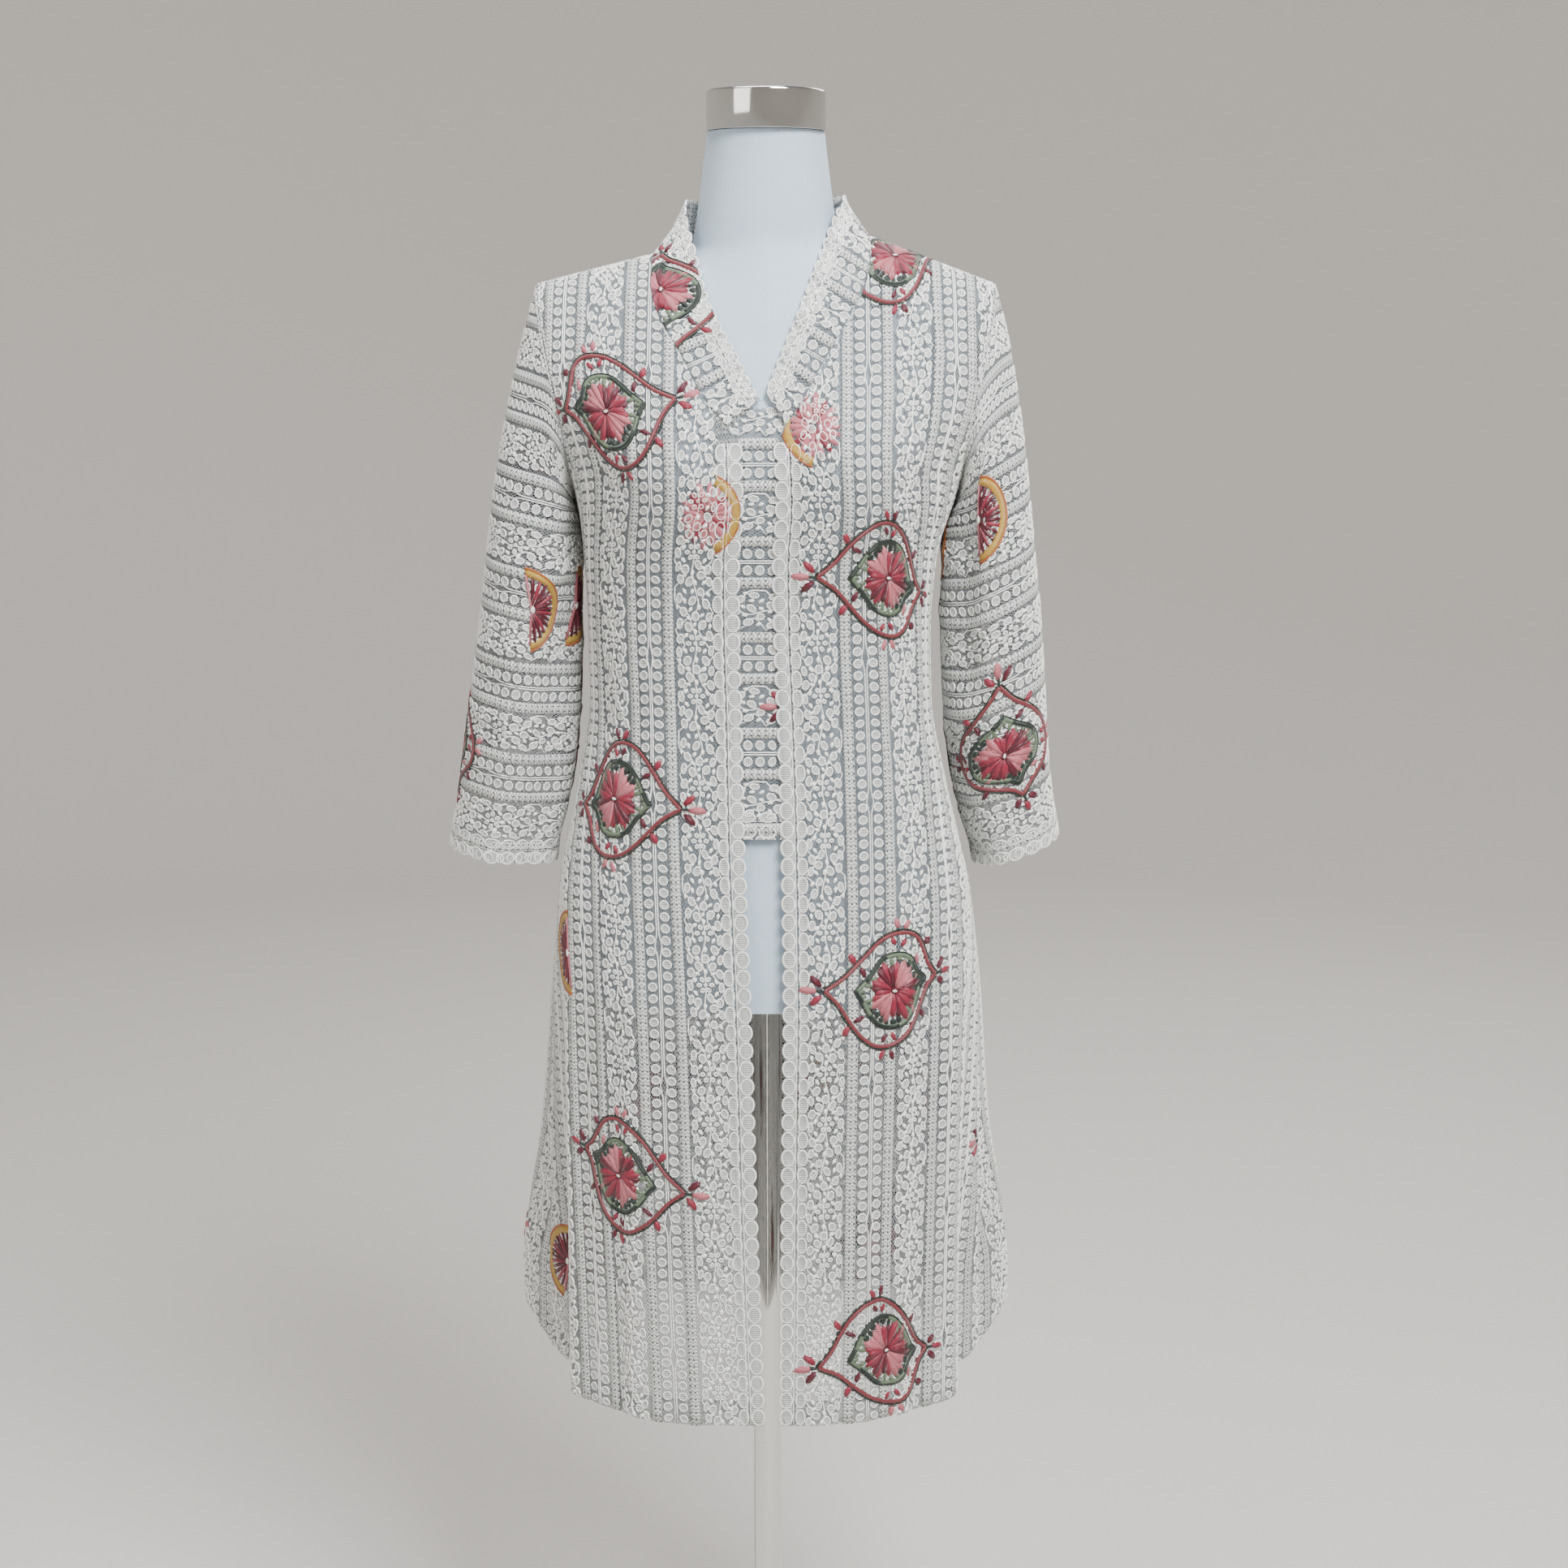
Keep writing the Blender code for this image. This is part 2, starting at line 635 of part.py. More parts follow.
def nearest_normal(point, line, normals):
    """The direction at a point beside a line, mixed from the line's two rows about its height."""
    above = next((row for row, other in enumerate(line) if other.z >= point.z), len(line) - 1)
    below = max(above - 1, 0)
    reach = line[above].z - line[below].z
    share = (point.z - line[below].z) / reach if reach > 1e-6 else 1.0
    return normals[below].lerp(normals[above], min(max(share, 0.0), 1.0)).normalized()


def build_front(side, fronts, seam_normals, material, collection):
    columns = [list(column) for column in fronts[side]]
    normals = [[normal * side for normal in line] for line in grid_normals(columns)]
    rows = len(columns[0])
    seam_rows = len(seam_normals)
    normals[-1][:seam_rows] = seam_normals
    for line in normals:
        line[-1] = Vector((side * SHOULDER_SLOPE[side], 0.0, 1.0)).normalized()
    for row in range(seam_rows, rows - 1):
        normals[-1][row] = without_outward(normals[-1][row], Vector((side, 0.0, 0.0)))
    edge = edge_column(side, SCALLOP_SHAPE, 0.0)
    base = edge_column(side, SCALLOP_SHAPE[:1], SCALLOP_INSET)
    neck_count = sum(1 for height in neck_rows(side) if height >= NECK_START)
    for index in range(1, neck_count + 1):
        edge[-index] = pull(edge[-index], columns[0][-index], SEAM_GAP / 2.0)
    for row in range(rows):
        columns[-1][row] = pull(columns[-1][row], columns[-2][row], SEAM_GAP / 2.0)
    outer = [edge, base] + columns
    for line in outer:
        line[-1] = pull(line[-1], line[-2], SEAM_GAP / 2.0)
    edge_normals = [[nearest_normal(point, columns[0], normals[0]) for point in line] for line in (edge, base)]
    hem_top = HEM_HEIGHT + HEM_TURN
    edge_thick = [[HEM_WALL if point.z < hem_top else WALL for point in line] for line in (edge, base)]
    thickness = edge_thick + [wall_thickness(rows)] * len(columns)
    inner = [inward(*three) for three in zip(outer, edge_normals + normals, thickness)]
    marks = [[point.z for point in line] for line in outer]
    name = "front_left" if side == LEFT else "front_right"
    return cloth_wall(name, outer, inner, marks, material, collection)


def build_back(halves, seam_normals, material, collection):
    left = [list(column) for column in reversed(halves[LEFT])]
    right = [list(column) for column in halves[RIGHT]]
    middle = [(one + other) / 2.0 for one, other in zip(left[-1], right[0])]
    columns = left[:-1] + [middle] + right[1:]
    normals = [[normal * -1.0 for normal in line] for line in grid_normals(columns)]
    seam_rows = len(seam_normals[LEFT])
    rows = len(columns[0])
    for side, at, near in ((LEFT, 0, 1), (RIGHT, -1, -2)):
        normals[at][:seam_rows] = seam_normals[side]
        for row in range(seam_rows, rows - 1):
            normals[at][row] = without_outward(normals[at][row], Vector((side, 0.0, 0.0)))
        for row in range(rows):
            columns[at][row] = pull(columns[at][row], columns[near][row], SEAM_GAP / 2.0)
    for line, line_normals in zip(columns, normals):
        x = line[-1].x
        side = RIGHT if x > 0.0 else LEFT
        if abs(x) >= NECK_SIDE_X[side]:
            line_normals[-1] = Vector((side * SHOULDER_SLOPE[side], 0.0, 1.0)).normalized()
        line[-1] = pull(line[-1], line[-2], SEAM_GAP / 2.0)
    inner = [inward(*three) for three in zip(columns, normals, [wall_thickness(rows)] * len(columns))]
    marks = [list(range(rows))] * len(columns)
    return cloth_wall("back", columns, inner, marks, material, collection)


def sleeve_ring(side, curves, height, count):
    """A ring of the sleeve, from its outer side round the front; folds push it in and out."""
    outer_x, inner_x = curves["outer_x"](height), curves["inner_x"](height)
    front_y, back_y = curves["front_y"](height), curves["back_y"](height)
    middle = Vector(((outer_x + inner_x) / 2.0, (front_y + back_y) / 2.0))
    half_x, half_y = (outer_x - inner_x) / 2.0, (back_y - front_y) / 2.0
    points = []
    for index in range(count):
        degrees = 360.0 * index / count
        turn = math.radians(degrees)
        c, s = math.cos(turn), math.sin(turn)
        size = (abs(c) ** SLEEVE_POWER + abs(s) ** SLEEVE_POWER) ** (-1.0 / SLEEVE_POWER)
        push = 0.0
        for angle, half, outward, top, bottom in SLEEVE_FOLDS[side]:
            fade = smooth((top - height) / SLEEVE_FOLD_FADE_TOP)
            fade *= smooth((height - bottom) / SLEEVE_FOLD_FADE_FOOT + 1.0)
            push += outward * bell((degrees - angle) / half) * fade
        x = middle.x + (half_x * size + push) * c
        y = middle.y - (half_y * size + push) * s
        lift = CUFF_TILT[side] * c * smooth((CUFF_TILT_TOP - height) / CUFF_TILT_TALL)
        points.append(Vector((side * x, y, height + lift)))
    return points


def sleeve_rows(side, loop, count):
    """Rows of the sleeve: its cap from the armhole down to the upper arm, then rings to the cuff."""
    curves = column_curves(SLEEVE_COLUMNS, SLEEVE_LEVELS[side])
    levels = [row[0] for row in SLEEVE_LEVELS[side]]
    upper = sleeve_ring(side, curves, levels[0], count)
    away = Vector((side, 0.0, 0.0))
    rows = [[point + away * ARMHOLE_GAP for point in loop]]
    for share in CAP_SHARES:
        row = []
        for start, end in zip(rows[0], upper):
            reach = (end - start).length
            leave = Vector((side * CAP_LEAVE[0], 0.0, CAP_LEAVE[1])) * reach
            arrive = Vector((side * CAP_ARRIVE[0], 0.0, CAP_ARRIVE[1])) * reach
            rest = 1.0 - share
            point = start * rest * rest * (1.0 + 2.0 * share) + end * share * share * (3.0 - 2.0 * share)
            row.append(point + (leave * rest - arrive * share) * share * rest)
        rows.append(row)
    rows.append(upper)
    rows.extend(sleeve_ring(side, curves, height, count) for height in levels[1:])
    return rows


def scalloped_cuff(rows):
    """The cuff's ring with scallops, and how far round each point is."""
    ring = rows[-1] + rows[-1][:1]
    lengths = [0.0]
    for start, end in zip(ring, ring[1:]):
        lengths.append(lengths[-1] + (end - start).length)
    count = round(lengths[-1] / SCALLOP_PITCH)
    points, marks = [], []
    for index in range(count):
        for along, out in SCALLOP_SHAPE:
            mark = (index + along) / count
            place = mark * lengths[-1]
            at = min(bisect.bisect_right(lengths, place), len(ring) - 1) - 1
            share = (place - lengths[at]) / (lengths[at + 1] - lengths[at])
            point = ring[at].lerp(ring[at + 1], share)
            points.append(point - Vector((0.0, 0.0, SCALLOP_DEPTH * out)))
            marks.append(mark)
    coarse_marks = [length / lengths[-1] for length in lengths[:-1]]
    return points, marks, coarse_marks


def build_sleeve(side, loop, material, collection):
    count = len(loop)
    rows = sleeve_rows(side, loop, count)
    normals = [[normal * -side for normal in line] for line in grid_normals(rows, closed=True)]
    away = Vector((side, 0.0, 0.0))
    normals[0] = [without_outward(normal, away) for normal in normals[0]]
    fine, fine_marks, coarse_marks = scalloped_cuff(rows)
    last_normals = []
    for mark in fine_marks:
        at = max(index for index, coarse in enumerate(coarse_marks) if coarse <= mark + 1e-9)
        following = (at + 1) % count
        end = coarse_marks[at + 1] if at + 1 < count else 1.0
        share = (mark - coarse_marks[at]) / (end - coarse_marks[at])
        last_normals.append(normals[-1][at].lerp(normals[-1][following], share).normalized())
    outer = rows[:-1] + [fine]
    inner = [inward(line, line_normals, [WALL] * count) for line, line_normals in zip(rows[:-1], normals)]
    inner.append(inward(fine, last_normals, [WALL] * len(fine)))
    marks = [coarse_marks] * (len(rows) - 1) + [fine_marks]
    name = "sleeve_left" if side == LEFT else "sleeve_right"
    return cloth_wall(name, outer, inner, marks, material, collection, closed=True)


def surface_at(x, height):
    """The blouse front's outer face at a signed distance from the middle."""
    side = LEFT if x < 0.0 else RIGHT
    lean = BODY["lean"](height)
    near = abs(x - lean)
    sign = LEFT if x - lean < 0.0 else RIGHT
    point = body_point(side, FRONT, angle_of(near, height), height)
    return Vector((lean + sign * abs(point.x - lean), point.y, height))


def build_centre_panel(material, collection):
    """The panel behind the fronts, with a scalloped lower end."""
    drop = WALL + LAYER_GAP
    outer, marks = [], []
    for height in PANEL_ROWS:
        shares = [index / PANEL_COLUMNS for index in range(PANEL_COLUMNS + 1)]
        line = [surface_at(mix(PANEL_LEFT, PANEL_RIGHT, share), height) for share in shares]
        outer.append(line)
        marks.append(shares)
    normals = [[normal * -1.0 for normal in line] for line in grid_normals(outer)]
    outer = [inward(line, line_normals, [drop] * len(line)) for line, line_normals in zip(outer, normals)]
    inner = [inward(line, line_normals, [WALL] * len(line)) for line, line_normals in zip(outer, normals)]
    count = round((PANEL_RIGHT - PANEL_LEFT) / SCALLOP_PITCH)
    fine, fine_marks = [], []
    for index in range(count):
        for along, out in SCALLOP_SHAPE:
            share = (index + along) / count
            at = surface_at(mix(PANEL_LEFT, PANEL_RIGHT, share), PANEL_BOTTOM)
            fine.append(at + Vector((0.0, drop, -SCALLOP_DEPTH * (1.0 + out))))
            fine_marks.append(share)
    end = surface_at(PANEL_RIGHT, PANEL_BOTTOM)
    fine.append(end + Vector((0.0, drop, -SCALLOP_DEPTH)))
    fine_marks.append(1.0)
    outer.insert(0, fine)
    inner.insert(0, [point + Vector((0.0, WALL, 0.0)) for point in fine])
    marks.insert(0, fine_marks)
    return cloth_wall("centre_panel", outer, inner, marks, material, collection)


def form_depth(x, height, facing, side):
    """Depth of the dress form under the cloth, with its neck."""
    width = BODY["half_width"](height)
    share = min(abs(x) / width, 1.0)
    depth = BODY["front_depth" if facing == FRONT else "back_depth"](height)
    body = depth * (1.0 - share ** SECTION_POWER) ** (1.0 / SECTION_POWER)
    drop = ridge_height(abs(x), side) - FORM_RIDGE_DROP - height
    body *= roll(drop)
    if facing == FRONT:
        body += bust(abs(x), height) * roll(drop)
    if drop <= 0.0:
        body = 0.0
    body = max(body - CLEARANCE(height), 0.0)
    neck_width = NECK["half_width"](height)
    across = max(1.0 - (x / neck_width) ** 2, 0.0)
    neck = max(NECK["half_depth"](height), 0.0) * math.sqrt(across)
    neck = max(neck + facing * NECK_Y, 0.0) if neck > 0.0 else 0.0
    return (body ** NECK_BLEND_POWER + neck ** NECK_BLEND_POWER) ** (1.0 / NECK_BLEND_POWER)


def form_half_width(height, side):
    """Half width of the dress form: the body, the cut arm ends, the shoulders' slope and the neck."""
    body = BODY["half_width"](height) - FORM_SIDE_CLEAR
    if height > FORM_ARM_WIDTH[0][0]:
        body = min(body, ARM_WIDTH(height))
    x = TIP_X
    while x > 0.0 and ridge_height(x, side) - FORM_RIDGE_DROP < height + RIDGE_STEP:
        x -= RIDGE_STEP
    return max(min(body, x), NECK["half_width"](height))


def build_form(material, collection):
    """The torso with its neck, as a loft of closed rings."""
    rings = []
    for height in FORM_ROWS:
        ring = []
        for index in range(FORM_AROUND):
            turn = 2.0 * math.pi * index / FORM_AROUND
            side = RIGHT if math.sin(turn) >= 0.0 else LEFT
            facing = FRONT if math.cos(turn) >= 0.0 else BACK
            half_width = form_half_width(height, side)
            x = half_width * abs(math.sin(turn)) ** FORM_SPREAD
            end = math.sqrt(max(1.0 - (x / half_width) ** FORM_END_POWER, 0.0))
            y = form_depth(x, height, facing, side) * end
            lean = BODY["lean"](height)
            ring.append(Vector((side * x + lean, CENTRE_Y + facing * y, height)))
        rings.append(ring)
    torso = bmesh.new()
    verts = [[torso.verts.new(point) for point in ring] for ring in rings]
    for lower, upper in zip(verts, verts[1:]):
        for index in range(FORM_AROUND):
            following = (index + 1) % FORM_AROUND
            torso.faces.new((lower[index], lower[following], upper[following], upper[index]))
    torso.faces.new(list(reversed(verts[0])))
    torso.faces.new(verts[-1])
    bmesh.ops.recalc_face_normals(torso, faces=torso.faces)
    mesh = bpy.data.meshes.new("form_torso")
    torso.to_mesh(mesh)
    torso.free()
    return add_object("form_torso", mesh, material, collection)


def band_stations(side, fronts, halves):
    """Pairs of seam and free-edge points along a collar band, from the V to the middle of the back."""
    rows = [height for height in neck_rows(side) if height >= NECK_START]
    first_row = len(neck_rows(side)) - len(rows)
    seams = []
    for row, height in enumerate(rows[:-1], first_row):
        inner_x = front_inner_x(side, height)
        seams.append(climbing_point(side, FRONT, row, 0.0, inner_x, height, ARMHOLE_ROWS[row][1]))
    seams[0] = seams[0].lerp(seams[1], BAND_FOOT_SHARE)
    pairs = []
    for seam, (edge_x, edge_height, stand) in zip(seams, BAND_EDGE_FRONT[side]):
        depth = form_depth(edge_x, edge_height, FRONT, side) + stand
        pairs.append((seam, Vector((side * edge_x, CENTRE_Y - depth, edge_height))))
    neck_x = NECK_SIDE_X[side]
    back_seams = [Vector((side * neck_x, CENTRE_Y, ridge_height(neck_x, side)))]
    tops = [halves[side][index][-1] for index in range(len(BACK_NECK_SHARES) - 1)]
    back_seams += reversed(tops)
    for seam, (x, y, height) in zip(back_seams, BAND_EDGE_BACK[side]):
        pairs.append((seam, Vector((side * x, y, height))))
    return pairs


def build_band(side, fronts, halves, material, collection):
    pairs = band_stations(side, fronts, halves)
    lines = []
    for seam, edge in pairs:
        start = seam.lerp(edge, SEAM_GAP / (edge - seam).length)
        lines.append([start.lerp(edge, share / BAND_ACROSS) for share in range(BAND_ACROSS + 1)])
    lines[-1] = [point + Vector((side * SEAM_GAP / 2.0, 0.0, 0.0)) for point in lines[-1]]
    normals = [[normal * side for normal in line] for line in grid_normals(lines)]
    normals[-1] = [Vector((0.0, normal.y, normal.z)).normalized() for normal in normals[-1]]
    inner = [inward(line, line_normals, [WALL] * len(line)) for line, line_normals in zip(lines, normals)]
    marks = [list(range(BAND_ACROSS + 1))] * len(lines)
    name = "collar_left" if side == LEFT else "collar_right"
    return cloth_wall(name, lines, inner, marks, material, collection)


def turned(name, profile, material, collection, at=(0.0, 0.0, 0.0)):
    """A turned solid from its outer profile, given from top to bottom as (radius, height)."""
    mesh = bpy.data.meshes.new(name)
    points = [(radius, 0.0, height) for radius, height in profile]
    mesh.from_pydata(points, [(index, index + 1) for index in range(len(points) - 1)], [])
    obj = add_object(name, mesh, material, collection)
    obj.location = at
    screw = obj.modifiers.new("Turn", "SCREW")
    screw.axis = "Z"
    screw.steps = screw.render_steps = ROUND_SEGMENTS
    screw.use_merge_vertices = True
    screw.merge_threshold = 0.00001
    screw.use_smooth_shade = True
    return obj


def rounded(radius, top, bottom, edge):
    """Profile of a disc with rounded rims, from its top middle to its bottom middle."""
    profile = [(0.0, top)]
    for turn in (90.0, 45.0, 0.0):
        turn = math.radians(turn)
        profile.append((radius - edge + edge * math.cos(turn), top - edge + edge * math.sin(turn)))
    profile.extend([(radius, bottom), (0.0, bottom)])
    return profile


def build_stand(chrome, collection):
    cap_foot = FORM_TOP + CAP_GAP
    cap = rounded(CAP_RADIUS, cap_foot + CAP_HEIGHT, cap_foot, CAP_EDGE)
    turned("neck_cap", cap, chrome, collection, (0.0, CENTRE_Y, 0.0))
    turned("stand_base", rounded(BASE_RADIUS, BASE_THICK, 0.0, BASE_EDGE), chrome, collection)
    socket_foot = BASE_THICK + CAP_GAP
    socket = rounded(SOCKET_RADIUS, socket_foot + SOCKET_HEIGHT, socket_foot, CAP_EDGE)
    turned("stand_socket", socket, chrome, collection)
    foot = socket_foot + SOCKET_HEIGHT + CAP_GAP
    top = FORM_BOTTOM - CAP_GAP
    pole = [(0.0, top), (POLE_RADIUS, top), (POLE_RADIUS, foot), (0.0, foot)]
    turned("stand_pole", pole, chrome, collection)


def main():
    clear_scene()
    collection = new_collection("kebaya_blouse")
    lace = new_material("lace", LACE_COLOUR, 0.85)
    jersey = new_material("jersey", JERSEY_COLOUR, 0.90)
    chrome = new_material("chrome", CHROME_COLOUR, 0.12, 1.0)
    fronts, halves = body_pieces()
    seam_normals = {side: shared_normals(fronts[side], halves[side], side) for side in (LEFT, RIGHT)}
    build_form(jersey, collection)
    build_stand(chrome, collection)
    build_back(halves, seam_normals, lace, collection)
    build_centre_panel(lace, collection)
    for side in (LEFT, RIGHT):
        build_front(side, fronts, seam_normals[side], lace, collection)
        build_sleeve(side, armhole_loop(side, fronts, halves), lace, collection)
        build_band(side, fronts, halves, lace, collection)


main()
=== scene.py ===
import json
import math

import bmesh
import bpy
import numpy as np
from bpy.props import FloatProperty, PointerProperty, StringProperty
from mathutils import Matrix, Vector

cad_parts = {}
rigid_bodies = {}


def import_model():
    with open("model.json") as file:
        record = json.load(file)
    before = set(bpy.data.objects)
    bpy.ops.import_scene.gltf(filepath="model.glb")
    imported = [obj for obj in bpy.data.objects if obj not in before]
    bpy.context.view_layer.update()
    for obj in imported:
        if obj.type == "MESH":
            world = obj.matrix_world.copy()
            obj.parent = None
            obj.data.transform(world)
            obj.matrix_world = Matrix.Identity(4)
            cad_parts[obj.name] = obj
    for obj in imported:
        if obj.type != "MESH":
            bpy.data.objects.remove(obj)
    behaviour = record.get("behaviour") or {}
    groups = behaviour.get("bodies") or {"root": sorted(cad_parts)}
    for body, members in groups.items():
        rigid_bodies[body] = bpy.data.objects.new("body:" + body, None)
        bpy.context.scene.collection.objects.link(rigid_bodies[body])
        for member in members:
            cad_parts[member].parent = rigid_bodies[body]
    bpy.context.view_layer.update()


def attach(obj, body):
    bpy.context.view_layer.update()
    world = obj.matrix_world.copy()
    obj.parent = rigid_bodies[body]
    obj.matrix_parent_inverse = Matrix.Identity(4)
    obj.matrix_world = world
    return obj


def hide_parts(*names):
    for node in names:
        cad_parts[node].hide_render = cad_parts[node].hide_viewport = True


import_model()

bl_info = {
    "name": "Lace kebaya blouse on a dress form",
    "version": (1, 0, 0),
    "blender": (4, 5, 0),
    "location": "3D View > Sidebar > Kebaya",
    "description": "Corded lace, embroidery, jersey form and chrome stand for a long kebaya blouse",
    "category": "Object",
}

# Left and right are as seen from the front, which faces -Y
LEFT, RIGHT = -1.0, 1.0
FRONT, BACK = -1.0, 1.0
MM = 0.001

# ---- Sizes, in metres and degrees, as the solids have them, but for the longer pitch of the scallops ----

WALL = 0.0012
SEAM_GAP = 0.0004
LAYER_GAP = 0.0009
CENTRE_Y = 0.005
SECTION_POWER = 2.4
BODY_COLUMNS = ("height", "half_width", "front_depth", "back_depth", "lean")
BODY_LEVELS = (
    (0.400, 0.1870, 0.1400, 0.1300, -0.002),
    (0.600, 0.1850, 0.1370, 0.1290, -0.002),
    (0.780, 0.1850, 0.1330, 0.1270, -0.001),
    (0.860, 0.1790, 0.1270, 0.1230, -0.002),
    (0.910, 0.1690, 0.1210, 0.1150, -0.003),
    (0.960, 0.1580, 0.1160, 0.1060, -0.004),
    (1.030, 0.1460, 0.1110, 0.0960, -0.005),
    (1.090, 0.1455, 0.1110, 0.0920, -0.006),
    (1.150, 0.1490, 0.1140, 0.0950, -0.005),
    (1.210, 0.1620, 0.1170, 0.1000, 0.000),
    (1.222, 0.1660, 0.1165, 0.1010, 0.000),
    (1.240, 0.1745, 0.1140, 0.1020, 0.000),
    (1.262, 0.1860, 0.1090, 0.1025, 0.000),
    (1.287, 0.1970, 0.1020, 0.1010, 0.000),
    (1.312, 0.2030, 0.0940, 0.0980, 0.000),
    (1.340, 0.2070, 0.0860, 0.0930, 0.000),
    (1.400, 0.2080, 0.0780, 0.0860, 0.000),
    (1.460, 0.2080, 0.0740, 0.0820, 0.000),
)
BUST_X, BUST_HEIGHT, BUST_RISE, BUST_WIDTH, BUST_TALL = 0.076, 1.228, 0.020, 0.048, 0.062
TIP_X, TIP_HEIGHT = 0.190, 1.377
SHOULDER_SLOPE = {LEFT: 0.25, RIGHT: 0.37}
SLOPES_MEET_X = 0.080
SHOULDER_ROLL = 0.130
HEM_HEIGHT = 0.418
HEM_TURN = 0.022
FLARE_ANGLE, FLARE_RISE, FLARE_RISE_WIDTH = 104.0, 0.045, 13.0
# Deep folds, as (angle from the front, half angle, outward)
FLUTES = (
    (77.5, 8.0, -0.024),
    (103.0, 11.0, 0.042),
    (122.0, 8.0, -0.010),
    (40.0, 7.0, -0.004),
    (24.0, 6.0, 0.003),
    (150.0, 9.0, 0.008),
    (168.0, 8.0, -0.006),
)
FLUTE_GROWTH = ((0.40, 1.0), (0.50, 1.0), (0.57, 0.78), (0.64, 0.50), (0.74, 0.28), (0.87, 0.0), (0.90, 0.0))
ARMPIT_HEIGHT = 1.210
# The armhole, as (height, x in front, x at the back)
ARMHOLE_ROWS = (
    (1.210, 0.1620, 0.1620),
    (1.222, 0.1635, 0.1640),
    (1.240, 0.1650, 0.1670),
    (1.262, 0.1680, 0.1700),
    (1.287, 0.1730, 0.1740),
    (1.312, 0.1790, 0.1790),
    (1.336, 0.1845, 0.1840),
    (1.356, 0.1880, 0.1880),
    (1.368, 0.1896, 0.1896),
    (1.375, 0.1900, 0.1900),
    (1.377, 0.1900, 0.1900),
)
# The fronts' edges below the V and the neckline above it, as (height, x)
EDGE_LINE = {
    LEFT: ((0.400, 0.0012), (0.640, 0.0090), (0.927, 0.0165), (1.050, 0.0170), (1.255, 0.0210)),
    RIGHT: ((0.400, 0.0157), (0.640, 0.0170), (0.927, 0.0180), (1.050, 0.0160), (1.255, 0.0090)),
}
NECK_START = 1.255
NECK_LINE = {
    LEFT: (
        (1.255, 0.0210), (1.280, 0.0450), (1.300, 0.0575), (1.315, 0.0650), (1.333, 0.0760),
        (1.349, 0.0860), (1.365, 0.0915), (1.377, 0.0940), (1.392, 0.0935), (1.402, 0.0922),
    ),
    RIGHT: (
        (1.255, 0.0090), (1.280, 0.0270), (1.300, 0.0385), (1.318, 0.0490), (1.340, 0.0620),
        (1.358, 0.0720), (1.375, 0.0800), (1.392, 0.0850), (1.408, 0.0860), (1.418, 0.0850),
    ),
}
NECK_HEIGHTS = {
    LEFT: (1.255, 1.280, 1.305, 1.330, 1.352, 1.372, 1.388),
    RIGHT: (1.255, 1.280, 1.305, 1.332, 1.358, 1.382, 1.402),
}
TOP_ROW_DROP = 0.003
NECK_SIDE_X = {LEFT: 0.0922, RIGHT: 0.0850}
BACK_NECK_HEIGHT = 1.396
BACK_NECK_SHARES = (0.70, 0.35, 0.0)
SCALLOP_PITCH = 0.0155
SCALLOP_DEPTH = 0.0042
PANEL_LEFT, PANEL_RIGHT, PANEL_BOTTOM, PANEL_TOP = -0.041, 0.028, 0.930, 1.280
BAND_FOOT_SHARE = 0.35
# The collar's free edge: in front as (x, height, distance from the form), and at the back as (x, y, height)
BAND_EDGE_FRONT = {
    LEFT: (
        (0.0035, 1.2850, 0.0052), (0.0125, 1.3000, 0.0052), (0.0245, 1.3215, 0.0052), (0.0365, 1.3435, 0.0052),
        (0.0460, 1.3620, 0.0052), (0.0530, 1.3800, 0.0052), (0.0585, 1.3990, 0.0105), (0.0630, 1.4200, 0.0190),
    ),
    RIGHT: (
        (0.0000, 1.2900, 0.0052), (0.0050, 1.3020, 0.0052), (0.0135, 1.3230, 0.0052), (0.0250, 1.3510, 0.0052),
        (0.0360, 1.3790, 0.0052), (0.0465, 1.4040, 0.0052), (0.0560, 1.4240, 0.0120), (0.0610, 1.4360, 0.0170),
    ),
}
BAND_EDGE_BACK = {
    LEFT: ((0.0665, 0.000, 1.4380), (0.0640, 0.034, 1.4455), (0.0340, 0.062, 1.4420), (0.0, 0.0710, 1.4385)),
    RIGHT: ((0.0645, 0.003, 1.4450), (0.0630, 0.034, 1.4490), (0.0340, 0.062, 1.4430), (0.0, 0.0710, 1.4385)),
}
SLEEVE_COLUMNS = ("height", "outer_x", "inner_x", "front_y", "back_y")
SLEEVE_LEVELS = {
    LEFT: (
        (1.165, 0.2365, 0.1575, -0.054, 0.074),
        (1.100, 0.2450, 0.1590, -0.052, 0.072),
        (1.040, 0.2535, 0.1610, -0.050, 0.070),
        (0.980, 0.2620, 0.1660, -0.048, 0.068),
        (0.930, 0.2690, 0.1760, -0.045, 0.066),
        (0.915, 0.2725, 0.1810, -0.044, 0.065),
        (0.893, 0.2765, 0.1840, -0.043, 0.064),
    ),
    RIGHT: (
        (1.165, 0.2270, 0.1520, -0.054, 0.074),
        (1.100, 0.2345, 0.1500, -0.052, 0.072),
        (1.040, 0.2395, 0.1520, -0.050, 0.070),
        (0.980, 0.2435, 0.1580, -0.048, 0.067),
        (0.930, 0.2485, 0.1700, -0.046, 0.064),
        (0.915, 0.2510, 0.1760, -0.045, 0.062),
        (0.897, 0.2540, 0.1800, -0.044, 0.060),
    ),
}
CUFF_TILT = {LEFT: 0.008, RIGHT: 0.014}
SLEEVE_POWER = 2.2
ARMHOLE_GAP = 0.0005
CAP_LEAVE, CAP_ARRIVE = (0.28, -0.80), (0.07, -0.70)
CUFF_TILT_TOP, CUFF_TILT_TALL = 1.02, 0.13
SLEEVE_FOLD_FADE_TOP, SLEEVE_FOLD_FADE_FOOT = 0.06, 0.04
